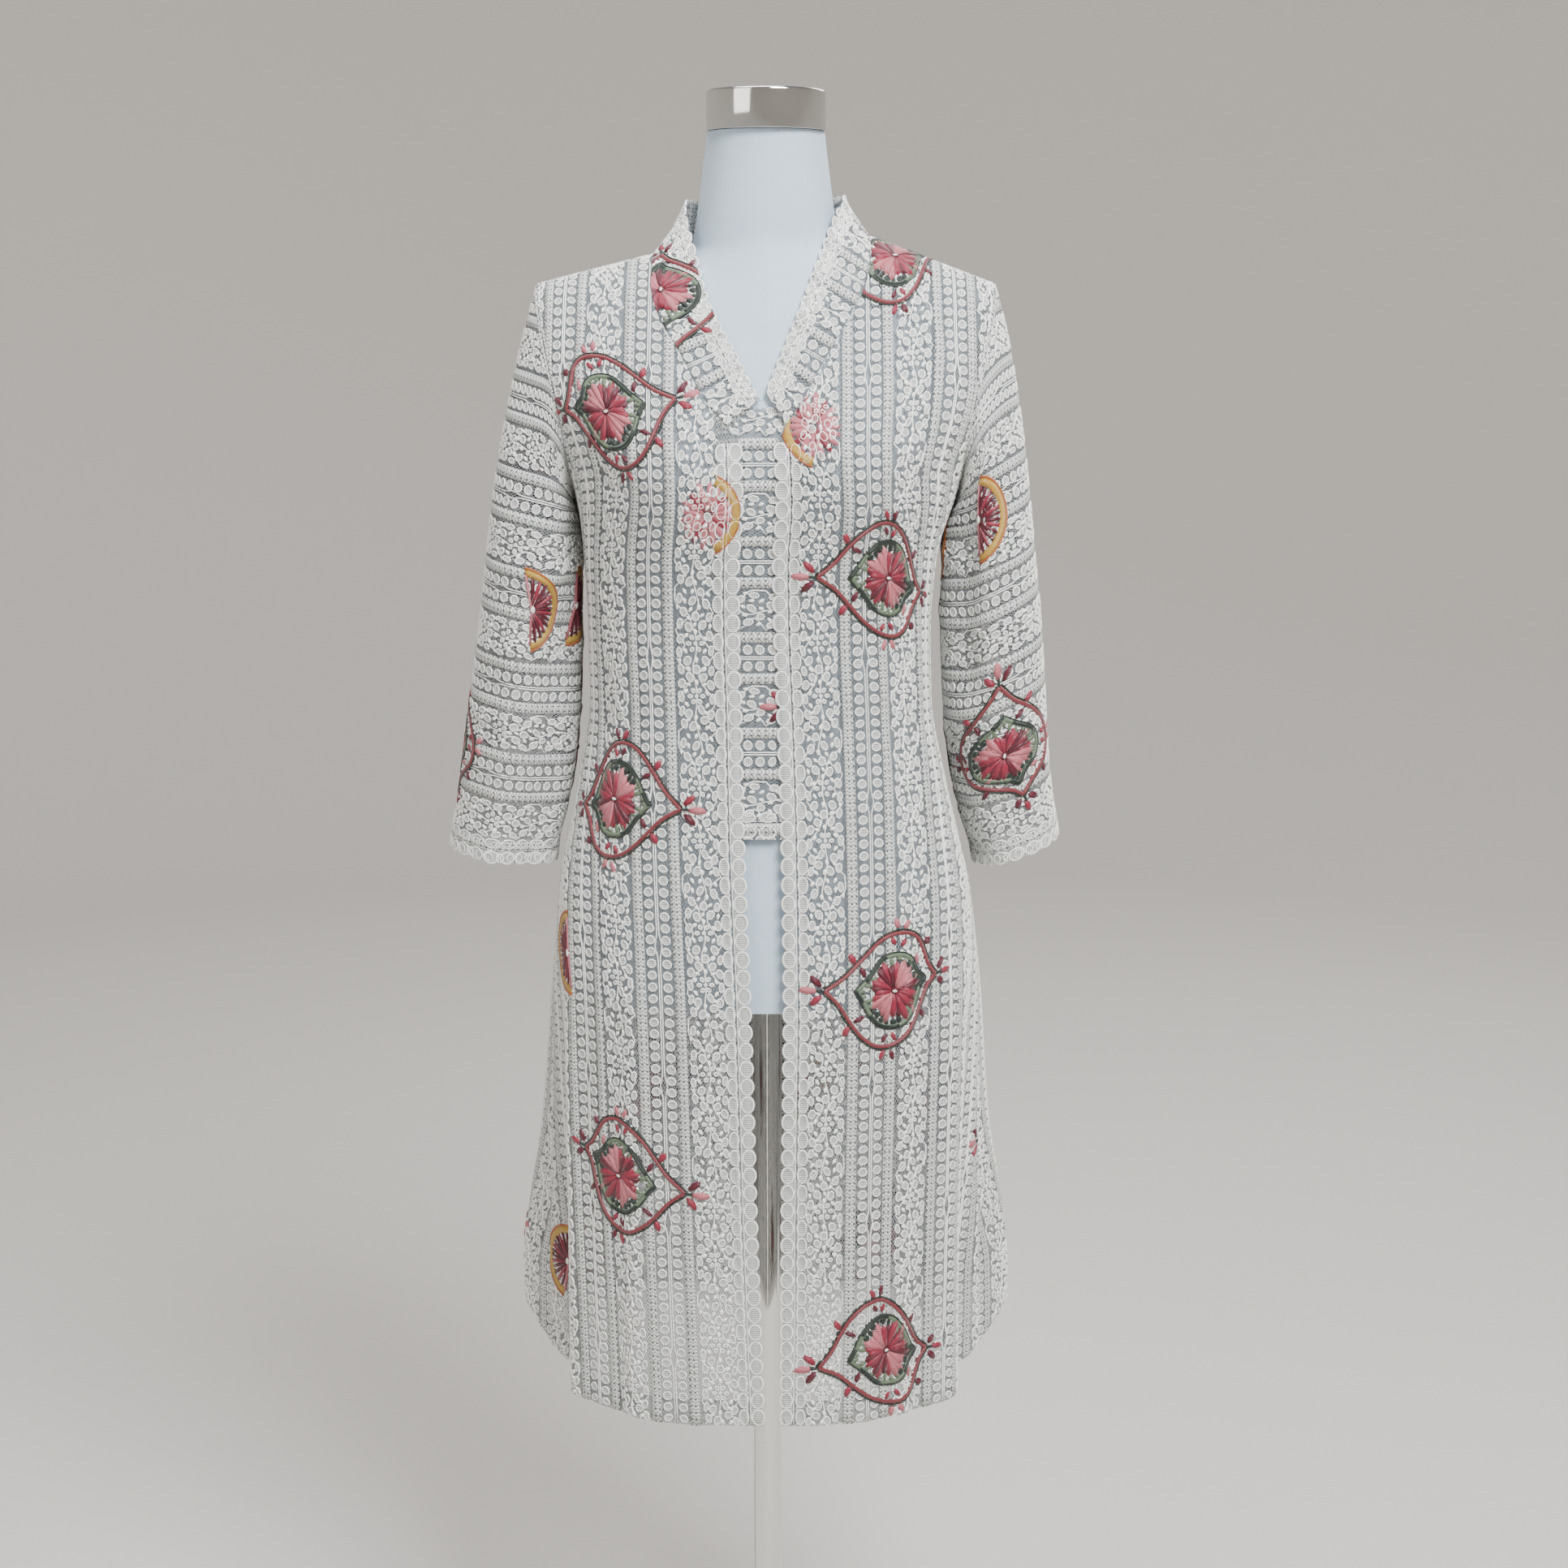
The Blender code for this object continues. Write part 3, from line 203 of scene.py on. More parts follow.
# Folds of each sleeve, as (angle from its outer side, half angle, outward, top, bottom)
SLEEVE_FOLDS = {
    LEFT: (
        (128.0, 22.0, -0.010, 1.15, 0.88),
        (84.0, 13.0, 0.005, 1.13, 0.88),
        (238.0, 24.0, -0.007, 1.16, 0.92),
        (150.0, 14.0, -0.006, 1.24, 1.08),
    ),
    RIGHT: (
        (126.0, 18.0, -0.008, 1.26, 1.06),
        (96.0, 13.0, 0.004, 1.26, 1.02),
        (232.0, 24.0, -0.007, 1.16, 0.92),
        (150.0, 20.0, -0.005, 1.04, 0.90),
    ),
}
FORM_BOTTOM, FORM_TOP = 0.780, 1.500
# The room between the cloth and the form, as (height, room)
FORM_CLEAR = (
    (0.78, 0.0100), (0.90, 0.0090), (1.00, 0.0085), (1.12, 0.0070),
    (1.20, 0.0052), (1.29, 0.0048), (1.34, 0.0042), (1.38, 0.0058),
)
FORM_SIDE_CLEAR = 0.0055
FORM_RIDGE_DROP = 0.0045
FORM_ARM_WIDTH = (
    (1.19, 0.1500), (1.22, 0.1540), (1.26, 0.1610), (1.30, 0.1700), (1.34, 0.1790), (1.40, 0.1860),
)
FORM_END_POWER = 10.0
FORM_SPREAD = 0.9
NECK_COLUMNS = ("height", "half_width", "half_depth")
NECK_LEVELS = (
    (1.290, 0.0400, 0.0000),
    (1.320, 0.0500, 0.0200),
    (1.345, 0.0600, 0.0450),
    (1.370, 0.0650, 0.0490),
    (1.395, 0.0640, 0.0475),
    (1.410, 0.0610, 0.0470),
    (1.430, 0.0575, 0.0475),
    (1.452, 0.0545, 0.0470),
    (1.475, 0.0515, 0.0465),
    (1.500, 0.0485, 0.0460),
)
NECK_BLEND_POWER = 6.0
NECK_Y = 0.002

# ---- How the cloth is laid out flat ----

STEP = 0.005            # spacing of the table that says where each flat point of a cloth lies
SHELL_STEP = 0.0075     # spacing of the net's own faces
LINES_FREE = 1.300      # above this height the lace's stripes run straight up to the shoulder seam
NET_THICK = 0.0005      # the net ground, which the real cloth has at about 0.3 mm
RIM_LIFT = 0.0010       # how far a cord stands off the net
FILL_LIFT = 0.0004      # how far a filled oval stands off the net
UNDER = -0.0008         # how far each motif reaches through to the wrong side
REACH = 0.08            # how far a line goes straight on past its ends
BELOW_HEM = 0.012       # the lines start this far below the hem
LEVEL_STEP = 0.006      # spacing of the levels at which the body is measured
FREE_LEVELS = 24        # levels above LINES_FREE
HALF_STEPS = 62         # steps across a front, or across half of the back
EDGE_STEPS = 8          # steps that a front's table goes on past its edge
SIDE_OVERLAP = 0.004    # the side border starts this far below the hem
TIP_SHORT = 0.0005      # the borders stop this far below the shoulder's tip
SECTION_ANGLES = np.linspace(-10.0, 90.0, 700)
ALONG = np.arange(-2, 215) * STEP
WHOLE = [(0.0, 0.0, 0.0, 1.0)]  # the one spot of a motif that is drawn in place
TOUCH = 1e-7            # points this close count as one


def mix(start, end, share):
    return start + (end - start) * share


def smooth(share):
    share = np.clip(share, 0.0, 1.0)
    return share * share * (3.0 - 2.0 * share)


def bell(distance):
    return np.exp(-distance * distance)


def curve(points):
    """A smooth curve through (place, value) points, for arrays, which never overshoots between two of them."""
    places, values = np.array(points, float).T
    steps = np.diff(places)
    rises = np.diff(values) / steps
    before, after = rises[:-1], rises[1:]
    total = np.where(before * after > 0.0, before + after, 1.0)
    inner = np.where(before * after > 0.0, 2.0 * before * after / total, 0.0)
    slopes = np.concatenate((rises[:1], inner, rises[-1:]))

    def read(place):
        place = np.clip(place, places[0], places[-1])
        at = np.clip(np.searchsorted(places, place, side="right") - 1, 0, len(steps) - 1)
        share = (place - places[at]) / steps[at]
        rest = 1.0 - share
        ends = values[at] * rest * rest * (1.0 + 2.0 * share) + values[at + 1] * share * share * (3.0 - 2.0 * share)
        return ends + steps[at] * share * rest * (slopes[at] * rest - slopes[at + 1] * share)

    return read


def column_curves(names, rows):
    rows = sorted(rows)
    return {name: curve([(row[0], row[index]) for row in rows]) for index, name in enumerate(names) if index}


BODY = column_curves(BODY_COLUMNS, BODY_LEVELS)
NECK = column_curves(NECK_COLUMNS, NECK_LEVELS)
GROWTH = curve(FLUTE_GROWTH)
EDGE = {side: curve(EDGE_LINE[side]) for side in (LEFT, RIGHT)}
NECKLINE = {side: curve(NECK_LINE[side]) for side in (LEFT, RIGHT)}
ARMHOLE_X = {
    FRONT: curve([(row[0], row[1]) for row in ARMHOLE_ROWS]),
    BACK: curve([(row[0], row[2]) for row in ARMHOLE_ROWS]),
}
ARMHOLE_HEIGHT = curve([(index, row[0]) for index, row in enumerate(ARMHOLE_ROWS)])
ARM_WIDTH = curve(FORM_ARM_WIDTH)
CLEARANCE = curve(FORM_CLEAR)


def ridge(x, side):
    """Height of the shoulder seam at a distance from the middle."""
    mean = (SHOULDER_SLOPE[LEFT] + SHOULDER_SLOPE[RIGHT]) / 2.0
    slope = mix(mean, SHOULDER_SLOPE[side], smooth(x / SLOPES_MEET_X))
    return TIP_HEIGHT + (TIP_X - x) * slope


def roll(drop):
    share = np.clip(drop / SHOULDER_ROLL, 0.0, 1.0)
    return np.sqrt(1.0 - (1.0 - share) ** 2)


def bust(x, height):
    across = bell((x - BUST_X) / BUST_WIDTH) + bell((x + BUST_X) / BUST_WIDTH)
    return BUST_RISE * across * bell((height - BUST_HEIGHT) / BUST_TALL)


def flute(around, height):
    total = sum(outward * bell((around - middle) / half) for middle, half, outward in FLUTES)
    return total * GROWTH(height)


# Soft creases, as (angle from the front, half angle, outward, top, bottom), in each side's half
CREASES = {
    LEFT: (
        (14.0, 3.5, 0.0016, 0.90, 0.42), (33.0, 4.0, 0.0020, 0.86, 0.42), (52.0, 5.0, -0.0016, 0.95, 0.42),
        (62.0, 4.0, 0.0018, 0.80, 0.42), (30.0, 5.0, 0.0014, 1.13, 0.98), (58.0, 5.0, -0.0014, 1.12, 0.99),
        (136.0, 6.0, 0.0020, 0.92, 0.42), (158.0, 5.0, -0.0018, 0.90, 0.42), (172.0, 4.0, 0.0016, 1.10, 0.98),
    ),
    RIGHT: (
        (11.0, 3.5, 0.0016, 0.88, 0.42), (29.0, 4.0, -0.0018, 0.93, 0.42), (36.0, 4.0, 0.0020, 0.88, 0.42),
        (56.0, 5.0, 0.0020, 0.84, 0.42), (38.0, 5.0, 0.0014, 1.12, 0.99), (64.0, 5.0, 0.0014, 1.14, 1.00),
        (132.0, 6.0, -0.0018, 0.94, 0.42), (151.0, 5.0, 0.0020, 0.88, 0.42), (166.0, 4.0, -0.0016, 1.10, 0.98),
    ),
}
CREASE_FADE, CREASE_SIDE_FADE, CREASE_RIDGE_FADE = 0.09, 8.0, 0.03
CREASE_DEPTH, SLEEVE_CREASE_DEPTH = 1.7, 1.3
# Drag lines that run slanting from the bust to the armhole and from the shoulder, as (side, facing, x, height,
# length direction in degrees from level, half width, half length, outward)
DRAG_LINES = (
    (LEFT, FRONT, 0.122, 1.245, 38.0, 0.007, 0.030, 0.0016),
    (LEFT, FRONT, 0.134, 1.222, 30.0, 0.006, 0.026, -0.0014),
    (RIGHT, FRONT, 0.120, 1.248, 36.0, 0.007, 0.032, 0.0016),
    (RIGHT, FRONT, 0.136, 1.224, 28.0, 0.006, 0.026, -0.0014),
    (LEFT, FRONT, 0.140, 1.330, -62.0, 0.008, 0.030, 0.0014),
    (RIGHT, FRONT, 0.142, 1.326, -64.0, 0.008, 0.032, 0.0014),
    (LEFT, BACK, 0.110, 1.300, 24.0, 0.009, 0.040, 0.0016),
    (RIGHT, BACK, 0.106, 1.292, 20.0, 0.009, 0.040, 0.0016),
)


def crease(side, facing, around, x, height):
    """Small creases that the solids leave out."""
    total = 0.0
    for middle, half, outward, top, bottom in CREASES[side]:
        fade = smooth((top - height) / CREASE_FADE) * smooth((height - bottom) / CREASE_FADE + 1.0)
        total = total + outward * bell((around - middle) / half) * fade
    for line_side, line_facing, at_x, at_height, slant, half, long, outward in DRAG_LINES:
        if (line_side, line_facing) == (side, facing):
            c, s = math.cos(math.radians(slant)), math.sin(math.radians(slant))
            along = (x - at_x) * c + (height - at_height) * s
            across = (height - at_height) * c - (x - at_x) * s
            total = total + outward * bell(across / half) * bell(along / long)
    return total * CREASE_DEPTH


def body(side, facing, angle, height, plain=False):
    """Points of the blouse's outer face. The angle is 0 at the middle and 90 at the side seam, in degrees."""
    angle, height = np.broadcast_arrays(np.asarray(angle, float), np.asarray(height, float))
    turn = np.radians(angle)
    power = 2.0 / SECTION_POWER
    x = BODY["half_width"](height) * np.sign(turn) * np.abs(np.sin(turn)) ** power
    y = BODY["front_depth" if facing == FRONT else "back_depth"](height) * np.abs(np.cos(turn)) ** power
    y = y * roll(ridge(np.abs(x), side) - height)
    around = np.abs(angle) if facing == FRONT else 180.0 - np.abs(angle)
    push = flute(around, height)
    if not plain:
        seam_fade = smooth((90.0 - np.abs(angle)) / CREASE_SIDE_FADE)
        seam_fade = seam_fade * smooth((ridge(np.abs(x), side) - height) / CREASE_RIDGE_FADE)
        push = push + crease(side, facing, around, np.abs(x), height) * seam_fade
    x = x + np.sign(angle) * push * np.sin(np.radians(around))
    y = y + push * np.abs(np.cos(np.radians(around)))
    if facing == FRONT:
        y = y + bust(x, height) * roll(ridge(np.abs(x), side) - height)
    return np.stack((side * x + BODY["lean"](height), CENTRE_Y + facing * y, height), axis=-1)


def angle_of(x, height):
    share = np.clip(np.abs(x) / BODY["half_width"](height), 0.0, 1.0)
    return np.degrees(np.arcsin(share ** (SECTION_POWER / 2.0))) * np.sign(x)


def hem_rise(around):
    return FLARE_RISE * bell((around - FLARE_ANGLE) / FLARE_RISE_WIDTH)


def lengths(points, axis=0):
    """Running length along lines of points."""
    steps = np.linalg.norm(np.diff(points, axis=axis), axis=-1)
    zero = np.zeros_like(np.take(steps, [0], axis=axis))
    return np.cumsum(np.concatenate((zero, steps), axis=axis), axis=axis)


def at_lengths(points, marks, wanted):
    """Points of a line at wanted running lengths; marks are the line's own. Past its ends it goes straight on."""
    ends = [end + (end - inner) / np.linalg.norm(end - inner) * REACH for end, inner in (points[:2], points[:-3:-1])]
    line = np.concatenate((ends[0][None], points, ends[1][None]))
    marks = np.concatenate(([marks[0] - REACH], marks, [marks[-1] + REACH]))
    return np.stack([np.interp(wanted, marks, line[:, axis]) for axis in range(3)], axis=-1)


class Cloth:
    """One cut piece. Its flat points are (u, v), in metres: the lace's stripes run along v."""

    def __init__(self, name, u_start, v_start, points, outward):
        self.name, self.u_start, self.v_start, self.points = name, u_start, v_start, points
        across = np.gradient(points, axis=0)
        along = np.gradient(points, axis=1)
        normals = np.cross(across, along)
        size = np.linalg.norm(normals, axis=-1, keepdims=True)
        self.flipped = outward < 0.0
        self.normals = normals / np.maximum(size, 1e-12) * outward
        self.limits = {}

    def limit(self, name, places, values):
        """A border, as a table: u_low and u_high are read by v, and v_low and v_high by u."""
        order = np.argsort(places)
        self.limits[name] = (np.asarray(places, float)[order], np.asarray(values, float)[order])

    def border(self, name, place):
        return np.interp(place, *self.limits[name])

    def place(self, flat):
        """Where flat points with a lift, (u, v, lift), lie on the worn blouse."""
        spots = []
        for values, start, count in ((flat[:, 0], self.u_start, 0), (flat[:, 1], self.v_start, 1)):
            place = (values - start) / STEP
            index = np.clip(np.floor(place).astype(int), 0, self.points.shape[count] - 2)
            spots.append((index, np.clip(place - index, -1.0, 2.0)[:, None]))
        (i, a), (j, b) = spots
        found = []
        for table in (self.points, self.normals):
            low = mix(table[i, j], table[i + 1, j], a)
            high = mix(table[i, j + 1], table[i + 1, j + 1], a)
            found.append(mix(low, high, b))
        return found[0] + found[1] * flat[:, 2:3]

    def trimmed(self, flat, free=()):
        """Flat points moved inside the borders, and which ones were outside; borders named in free don't hold."""
        u, v = flat[:, 0].copy(), flat[:, 1].copy()
        for _ in range(2):
            if "u_low" not in free:
                u = np.maximum(u, self.border("u_low", v))
            u = np.minimum(u, self.border("u_high", v))
            if "v_low" not in free:
                v = np.maximum(v, self.border("v_low", u))
            if "v_high" not in free:
                v = np.minimum(v, self.border("v_high", u))
        moved = np.abs(u - flat[:, 0]) + np.abs(v - flat[:, 1]) > TOUCH
        return np.stack((u, v, flat[:, 2]), axis=-1), moved

    def size(self):
        """Width, length and area of the flat cut."""
        u_range, v_range = self.ranges()
        u, v = np.meshgrid(np.linspace(*u_range, 500), np.linspace(*v_range, 500))
        inside = (u >= self.border("u_low", v)) & (u <= self.border("u_high", v))
        inside &= (v >= self.border("v_low", u)) & (v <= self.border("v_high", u))
        wide, tall = u_range[1] - u_range[0], v_range[1] - v_range[0]
        used_u, used_v = u[inside], v[inside]
        return float(np.ptp(used_u)), float(np.ptp(used_v)), float(inside.mean() * wide * tall)

    def ranges(self):
        """The lowest and highest flat u and v of the cut."""
        u = np.concatenate((self.limits["u_low"][1], self.limits["u_high"][1]))
        v = np.concatenate((self.limits["v_low"][1], self.limits["v_high"][1]))
        return (float(u.min()), float(u.max())), (float(v.min()), float(v.max()))


def hanging_lines(side, facing, start_x, before, after):
    """Lines that hang from the shoulder, one step apart at every level, as points at every step of length."""
    wanted = np.arange(-before, after + 1) * STEP
    low = np.append(np.arange(HEM_HEIGHT - BELOW_HEM, LINES_FREE - LEVEL_STEP / 2.0, LEVEL_STEP), LINES_FREE)
    rows = []
    for height in low:
        section = body(side, facing, SECTION_ANGLES, height)
        marks = lengths(section)
        marks = marks - np.interp(angle_of(start_x(height), height), SECTION_ANGLES, marks)
        rows.append(at_lengths(section, marks, wanted))
    width = BODY["half_width"](LINES_FREE)
    turn = np.radians(SECTION_ANGLES)
    plain_x = width * np.sign(SECTION_ANGLES) * np.abs(np.sin(turn)) ** (2.0 / SECTION_POWER)
    free_x = np.interp(wanted, marks, plain_x)
    points = np.stack(rows, axis=1)
    rest = (1.0 - np.linspace(0.0, 1.0, FREE_LEVELS)[1:]) ** 2
    top = ridge(np.abs(free_x), side)
    heights = top[:, None] - (top[:, None] - LINES_FREE) * rest[None, :]
    upper = body(side, facing, angle_of(free_x[:, None], heights), heights)
    points = np.concatenate((points, upper), axis=1)
    marks = lengths(points, axis=1)
    start = np.array([np.interp(HEM_HEIGHT, line[:, 2], mark) for line, mark in zip(points, marks)])
    marks = marks - start[:, None]
    lattice = np.stack([at_lengths(line, mark, ALONG) for line, mark in zip(points, marks)])
    return wanted, free_x, marks[:, -1], lattice


class Half:
    """One front, or one half of the back, with what finds the flat place of a point on it."""

    def __init__(self, side, facing, start_x, before):
        self.side, self.facing, self.start_x = side, facing, start_x
        self.u, self.free_x, self.tops, self.points = hanging_lines(side, facing, start_x, before, HALF_STEPS)

    def across(self, x, height):
        """Flat u of plain distances from the middle at their heights."""
        found = []
        for one_x, one_height in zip(np.atleast_1d(x), np.atleast_1d(height)):
            if one_height > LINES_FREE:
                found.append(np.interp(one_x, self.free_x, self.u))
                continue
            marks = lengths(body(self.side, self.facing, SECTION_ANGLES, one_height))
            ends = angle_of(np.array([self.start_x(one_height), one_x]), one_height)
            start, end = np.interp(ends, SECTION_ANGLES, marks)
            found.append(end - start)
        return np.array(found)

    def along(self, u, height):
        """Flat v of points at a flat u and a height."""
        found = []
        for one_u, one_height in zip(np.atleast_1d(u), np.atleast_1d(height)):
            place = np.clip((one_u - self.u[0]) / STEP, 0, len(self.u) - 1.001)
            index = int(place)
            line = mix(self.points[index, :, 2], self.points[index + 1, :, 2], place - index)
            end = mix(self.tops[index], self.tops[index + 1], place - index)
            count = int(np.searchsorted(ALONG, end))
            found.append(min(np.interp(one_height, line[:count], ALONG[:count]), end))
        return np.array(found)

    def flat(self, x, height):
        u = self.across(x, height)
        return u, self.along(u, height)

    def side_border(self):
        """The side seam up to the armpit, then the armhole up to the shoulder tip, as (u, v)."""
        low = np.linspace(HEM_HEIGHT + hem_rise(90.0) - SIDE_OVERLAP, ARMPIT_HEIGHT, 60)
        high = np.linspace(ARMPIT_HEIGHT, TIP_HEIGHT - TIP_SHORT, 30)[1:]
        heights = np.concatenate((low, high))
        x = np.concatenate((BODY["half_width"](low), ARMHOLE_X[self.facing](high)))
        u, v = self.flat(x, heights)
        return u - SEAM_GAP / 2.0, v

    def hem_border(self):
        angles = np.linspace(0.0, 90.0, 120)
        around = angles if self.facing == FRONT else 180.0 - angles
        heights = HEM_HEIGHT + hem_rise(around)
        x = BODY["half_width"](heights) * np.sin(np.radians(angles)) ** (2.0 / SECTION_POWER)
        return self.flat(x, heights)


def front_cloth(side):
    """A front: u runs from the front edge towards the side seam, v up from the hem."""
    half = Half(side, FRONT, EDGE[side], EDGE_STEPS)
    name = "front_left" if side == LEFT else "front_right"
    cloth = Cloth(name, half.u[0], ALONG[0], half.points, side)
    u, v = half.side_border()
    cloth.limit("u_high", v, u)
    neck_heights = np.linspace(NECK_START, ridge(NECK_SIDE_X[side], side) - TIP_SHORT, 40)
    neck_u, neck_v = half.flat(NECKLINE[side](neck_heights), neck_heights)
    cloth.limit("u_low", np.concatenate(([-1.0, neck_v[0]], neck_v[1:])), np.concatenate(([0.0, 0.0], neck_u[1:])))
    hem_u, hem_v = half.hem_border()
    cloth.limit("v_low", np.concatenate(([-1.0], hem_u)), np.concatenate(([hem_v[0]], hem_v)))
    cloth.limit("v_high", half.u, half.tops - SEAM_GAP / 2.0)
    return cloth


def neck_share(side):
    return angle_of(NECK_SIDE_X[side], TIP_HEIGHT) / angle_of(TIP_X, TIP_HEIGHT)


def back_top(side, share):
    """The back's top border at a share of the way from the middle to the shoulder tip: its x and height."""
    turn = np.radians(angle_of(TIP_X, TIP_HEIGHT) * share)
    height = TIP_HEIGHT
    for _ in range(4):
        x = BODY["half_width"](height) * np.sin(turn) ** (2.0 / SECTION_POWER)
        top = ridge(x, side)
        if share < neck_share(side) - 1e-6:
            top = mix(BACK_NECK_HEIGHT, top, smooth(share / neck_share(side)) ** 2)
        height = top
    return float(x), float(height)


def back_cloth():
    """The back: u runs from left to right through the middle, v up from the hem."""
    halves = {side: Half(side, BACK, lambda height: 0.0, 0) for side in (LEFT, RIGHT)}
    left, right = halves[LEFT], halves[RIGHT]
    middle = (left.points[:1] + right.points[:1]) / 2.0
    points = np.concatenate((left.points[:0:-1], middle, right.points[1:]))
    cloth = Cloth("back", -left.u[-1], ALONG[0], points, -1.0)
    low_u, low_v, high_u, high_v = [], [], [], []
    for side, half in halves.items():
        u, v = half.side_border()
        cloth.limit("u_high" if side == RIGHT else "u_low", v, u * side)
        hem_u, hem_v = half.hem_border()
        low_u.append(hem_u * side)
        low_v.append(hem_v)
        shares = np.linspace(0.0, 1.0, 60)
        tops = [back_top(side, share) for share in shares]
        x, height = np.array(tops).T
        u = half.across(x, height)
        end = np.interp(u, half.u, half.tops)
        v = np.where(shares >= neck_share(side), end, half.along(u, height))
        high_u.append(u * side)
        high_v.append(v - SEAM_GAP / 2.0)
    cloth.limit("v_low", np.concatenate(low_u), np.concatenate(low_v))
    cloth.limit("v_high", np.concatenate(high_u), np.concatenate(high_v))
    return cloth


def sleeve_ring(side, curves, height, turns):
    """Points of the sleeve at a height, at angles from its outer side round the front."""
    outer_x, inner_x = curves["outer_x"](height), curves["inner_x"](height)
    front_y, back_y = curves["front_y"](height), curves["back_y"](height)
    c, s = np.cos(np.radians(turns)), np.sin(np.radians(turns))
    size = (np.abs(c) ** SLEEVE_POWER + np.abs(s) ** SLEEVE_POWER) ** (-1.0 / SLEEVE_POWER)
    degrees = turns % 360.0
    push = np.zeros_like(degrees)
    for angle, half, outward, top, bottom in SLEEVE_FOLDS[side]:
        fade = smooth((top - height) / SLEEVE_FOLD_FADE_TOP) * smooth((height - bottom) / SLEEVE_FOLD_FADE_FOOT + 1.0)
        push += outward * bell((degrees - angle) / half) * fade
    push += sleeve_crease(side, degrees, height)
    x = (outer_x + inner_x) / 2.0 + ((outer_x - inner_x) / 2.0 * size + push) * c
    y = (front_y + back_y) / 2.0 - ((back_y - front_y) / 2.0 * size + push) * s
    lift = CUFF_TILT[side] * c * smooth((CUFF_TILT_TOP - height) / CUFF_TILT_TALL)
    return np.stack((side * x, y, height + lift), axis=-1)


# Small slanting creases of each sleeve, as (height at the front, rise per 90 degrees, half height, outward)
SLEEVE_CREASES = {
    LEFT: ((1.135, 0.020, 0.007, 0.0018), (1.085, -0.014, 0.008, 0.0015), (1.005, 0.024, 0.009, 0.0014)),
    RIGHT: ((1.142, 0.024, 0.007, 0.0018), (1.092, 0.016, 0.008, 0.0016), (1.020, -0.022, 0.009, 0.0014)),
}


ELBOW_ANGLE, CREASE_REACH, CREASE_REACH_FADE = 120.0, 130.0, 90.0


def sleeve_crease(side, degrees, height):
    total = 0.0
    for middle, rise, half, outward in SLEEVE_CREASES[side]:
        away = np.abs(degrees - ELBOW_ANGLE)
        away = np.minimum(away, 360.0 - away)
        level = middle + rise * away / 90.0
        total = total + outward * bell((height - level) / half) * smooth((CREASE_REACH - away) / CREASE_REACH_FADE)
    return total * SLEEVE_CREASE_DEPTH


ARMHOLE_STEPS = 10          # rows of ARMHOLE_ROWS from the armpit to the shoulder's tip
ROUND_STEPS = 52            # steps each way round a sleeve from its outer side
CAP_ROWS, TUBE_ROWS = 22, 50
SLEEVE_ALONG = np.arange(-3, 125) * STEP


def sleeve_cloth(side):
    """A sleeve: u runs up from the cuff, and v round it from the outer side, to the front where it is positive."""
    curves = column_curves(SLEEVE_COLUMNS, SLEEVE_LEVELS[side])
    levels = [row[0] for row in SLEEVE_LEVELS[side]]
    index = np.linspace(-ARMHOLE_STEPS, ARMHOLE_STEPS, 24 * ARMHOLE_STEPS + 1)
    armhole_height = ARMHOLE_HEIGHT(ARMHOLE_STEPS - np.abs(index))
    loop = np.empty((len(index), 3))
    for facing, picked in ((FRONT, index >= 0.0), (BACK, index < 0.0)):
        heights = armhole_height[picked]
        loop[picked] = body(side, facing, angle_of(ARMHOLE_X[facing](heights), heights), heights, plain=True)
    loop = loop + np.array((side * ARMHOLE_GAP, 0.0, 0.0))
    turns = index * (180.0 / ARMHOLE_STEPS)
    upper = sleeve_ring(side, curves, levels[0], turns)
    reach = np.linalg.norm(upper - loop, axis=-1, keepdims=True)
    leave = np.array((side * CAP_LEAVE[0], 0.0, CAP_LEAVE[1])) * reach
    arrive = np.array((side * CAP_ARRIVE[0], 0.0, CAP_ARRIVE[1])) * reach
    rows = []
    for share in np.linspace(0.0, 1.0, CAP_ROWS)[:-1]:
        rest = 1.0 - share
        line = loop * rest * rest * (1.0 + 2.0 * share) + upper * share * share * (3.0 - 2.0 * share)
        rows.append(line + (leave * rest - arrive * share) * share * rest)
    rows += [sleeve_ring(side, curves, height, turns) for height in np.linspace(levels[0], levels[-1], TUBE_ROWS)]
    rows = rows[::-1]
    wanted = np.arange(-ROUND_STEPS, ROUND_STEPS + 1) * STEP
    middle = len(index) // 2
    lines, row_marks = [], []
    for line in rows:
        marks = lengths(line)
        marks = marks - marks[middle]
        row_marks.append(marks)
        lines.append(at_lengths(line, marks, wanted))
    lines = np.stack(lines)
    up = lengths(lines, axis=0)
    points = np.stack([at_lengths(lines[:, k], up[:, k], SLEEVE_ALONG) for k in range(len(wanted))], axis=1)
    name = "sleeve_left" if side == LEFT else "sleeve_right"
    cloth = Cloth(name, SLEEVE_ALONG[0], wanted[0], points, 1.0)
    lower = slice(10, 60)
    if np.mean((points[lower] - points[lower].mean(axis=(0, 1))) * cloth.normals[lower]) < 0.0:
        cloth = Cloth(name, SLEEVE_ALONG[0], wanted[0], points, -1.0)
    for border, end in (("v_low", 0), ("v_high", -1)):
        v = np.array([marks[end] for marks in row_marks])
        u = np.array([np.interp(one_v, wanted, line_up) for one_v, line_up in zip(v, up)])
        cloth.limit(border, u, v)
    top_v = row_marks[-1]
    cloth.limit("u_high", top_v, np.interp(top_v, wanted, up[-1]))
    cloth.limit("u_low", [-1.0, 1.0], [0.0, 0.0])
    return cloth


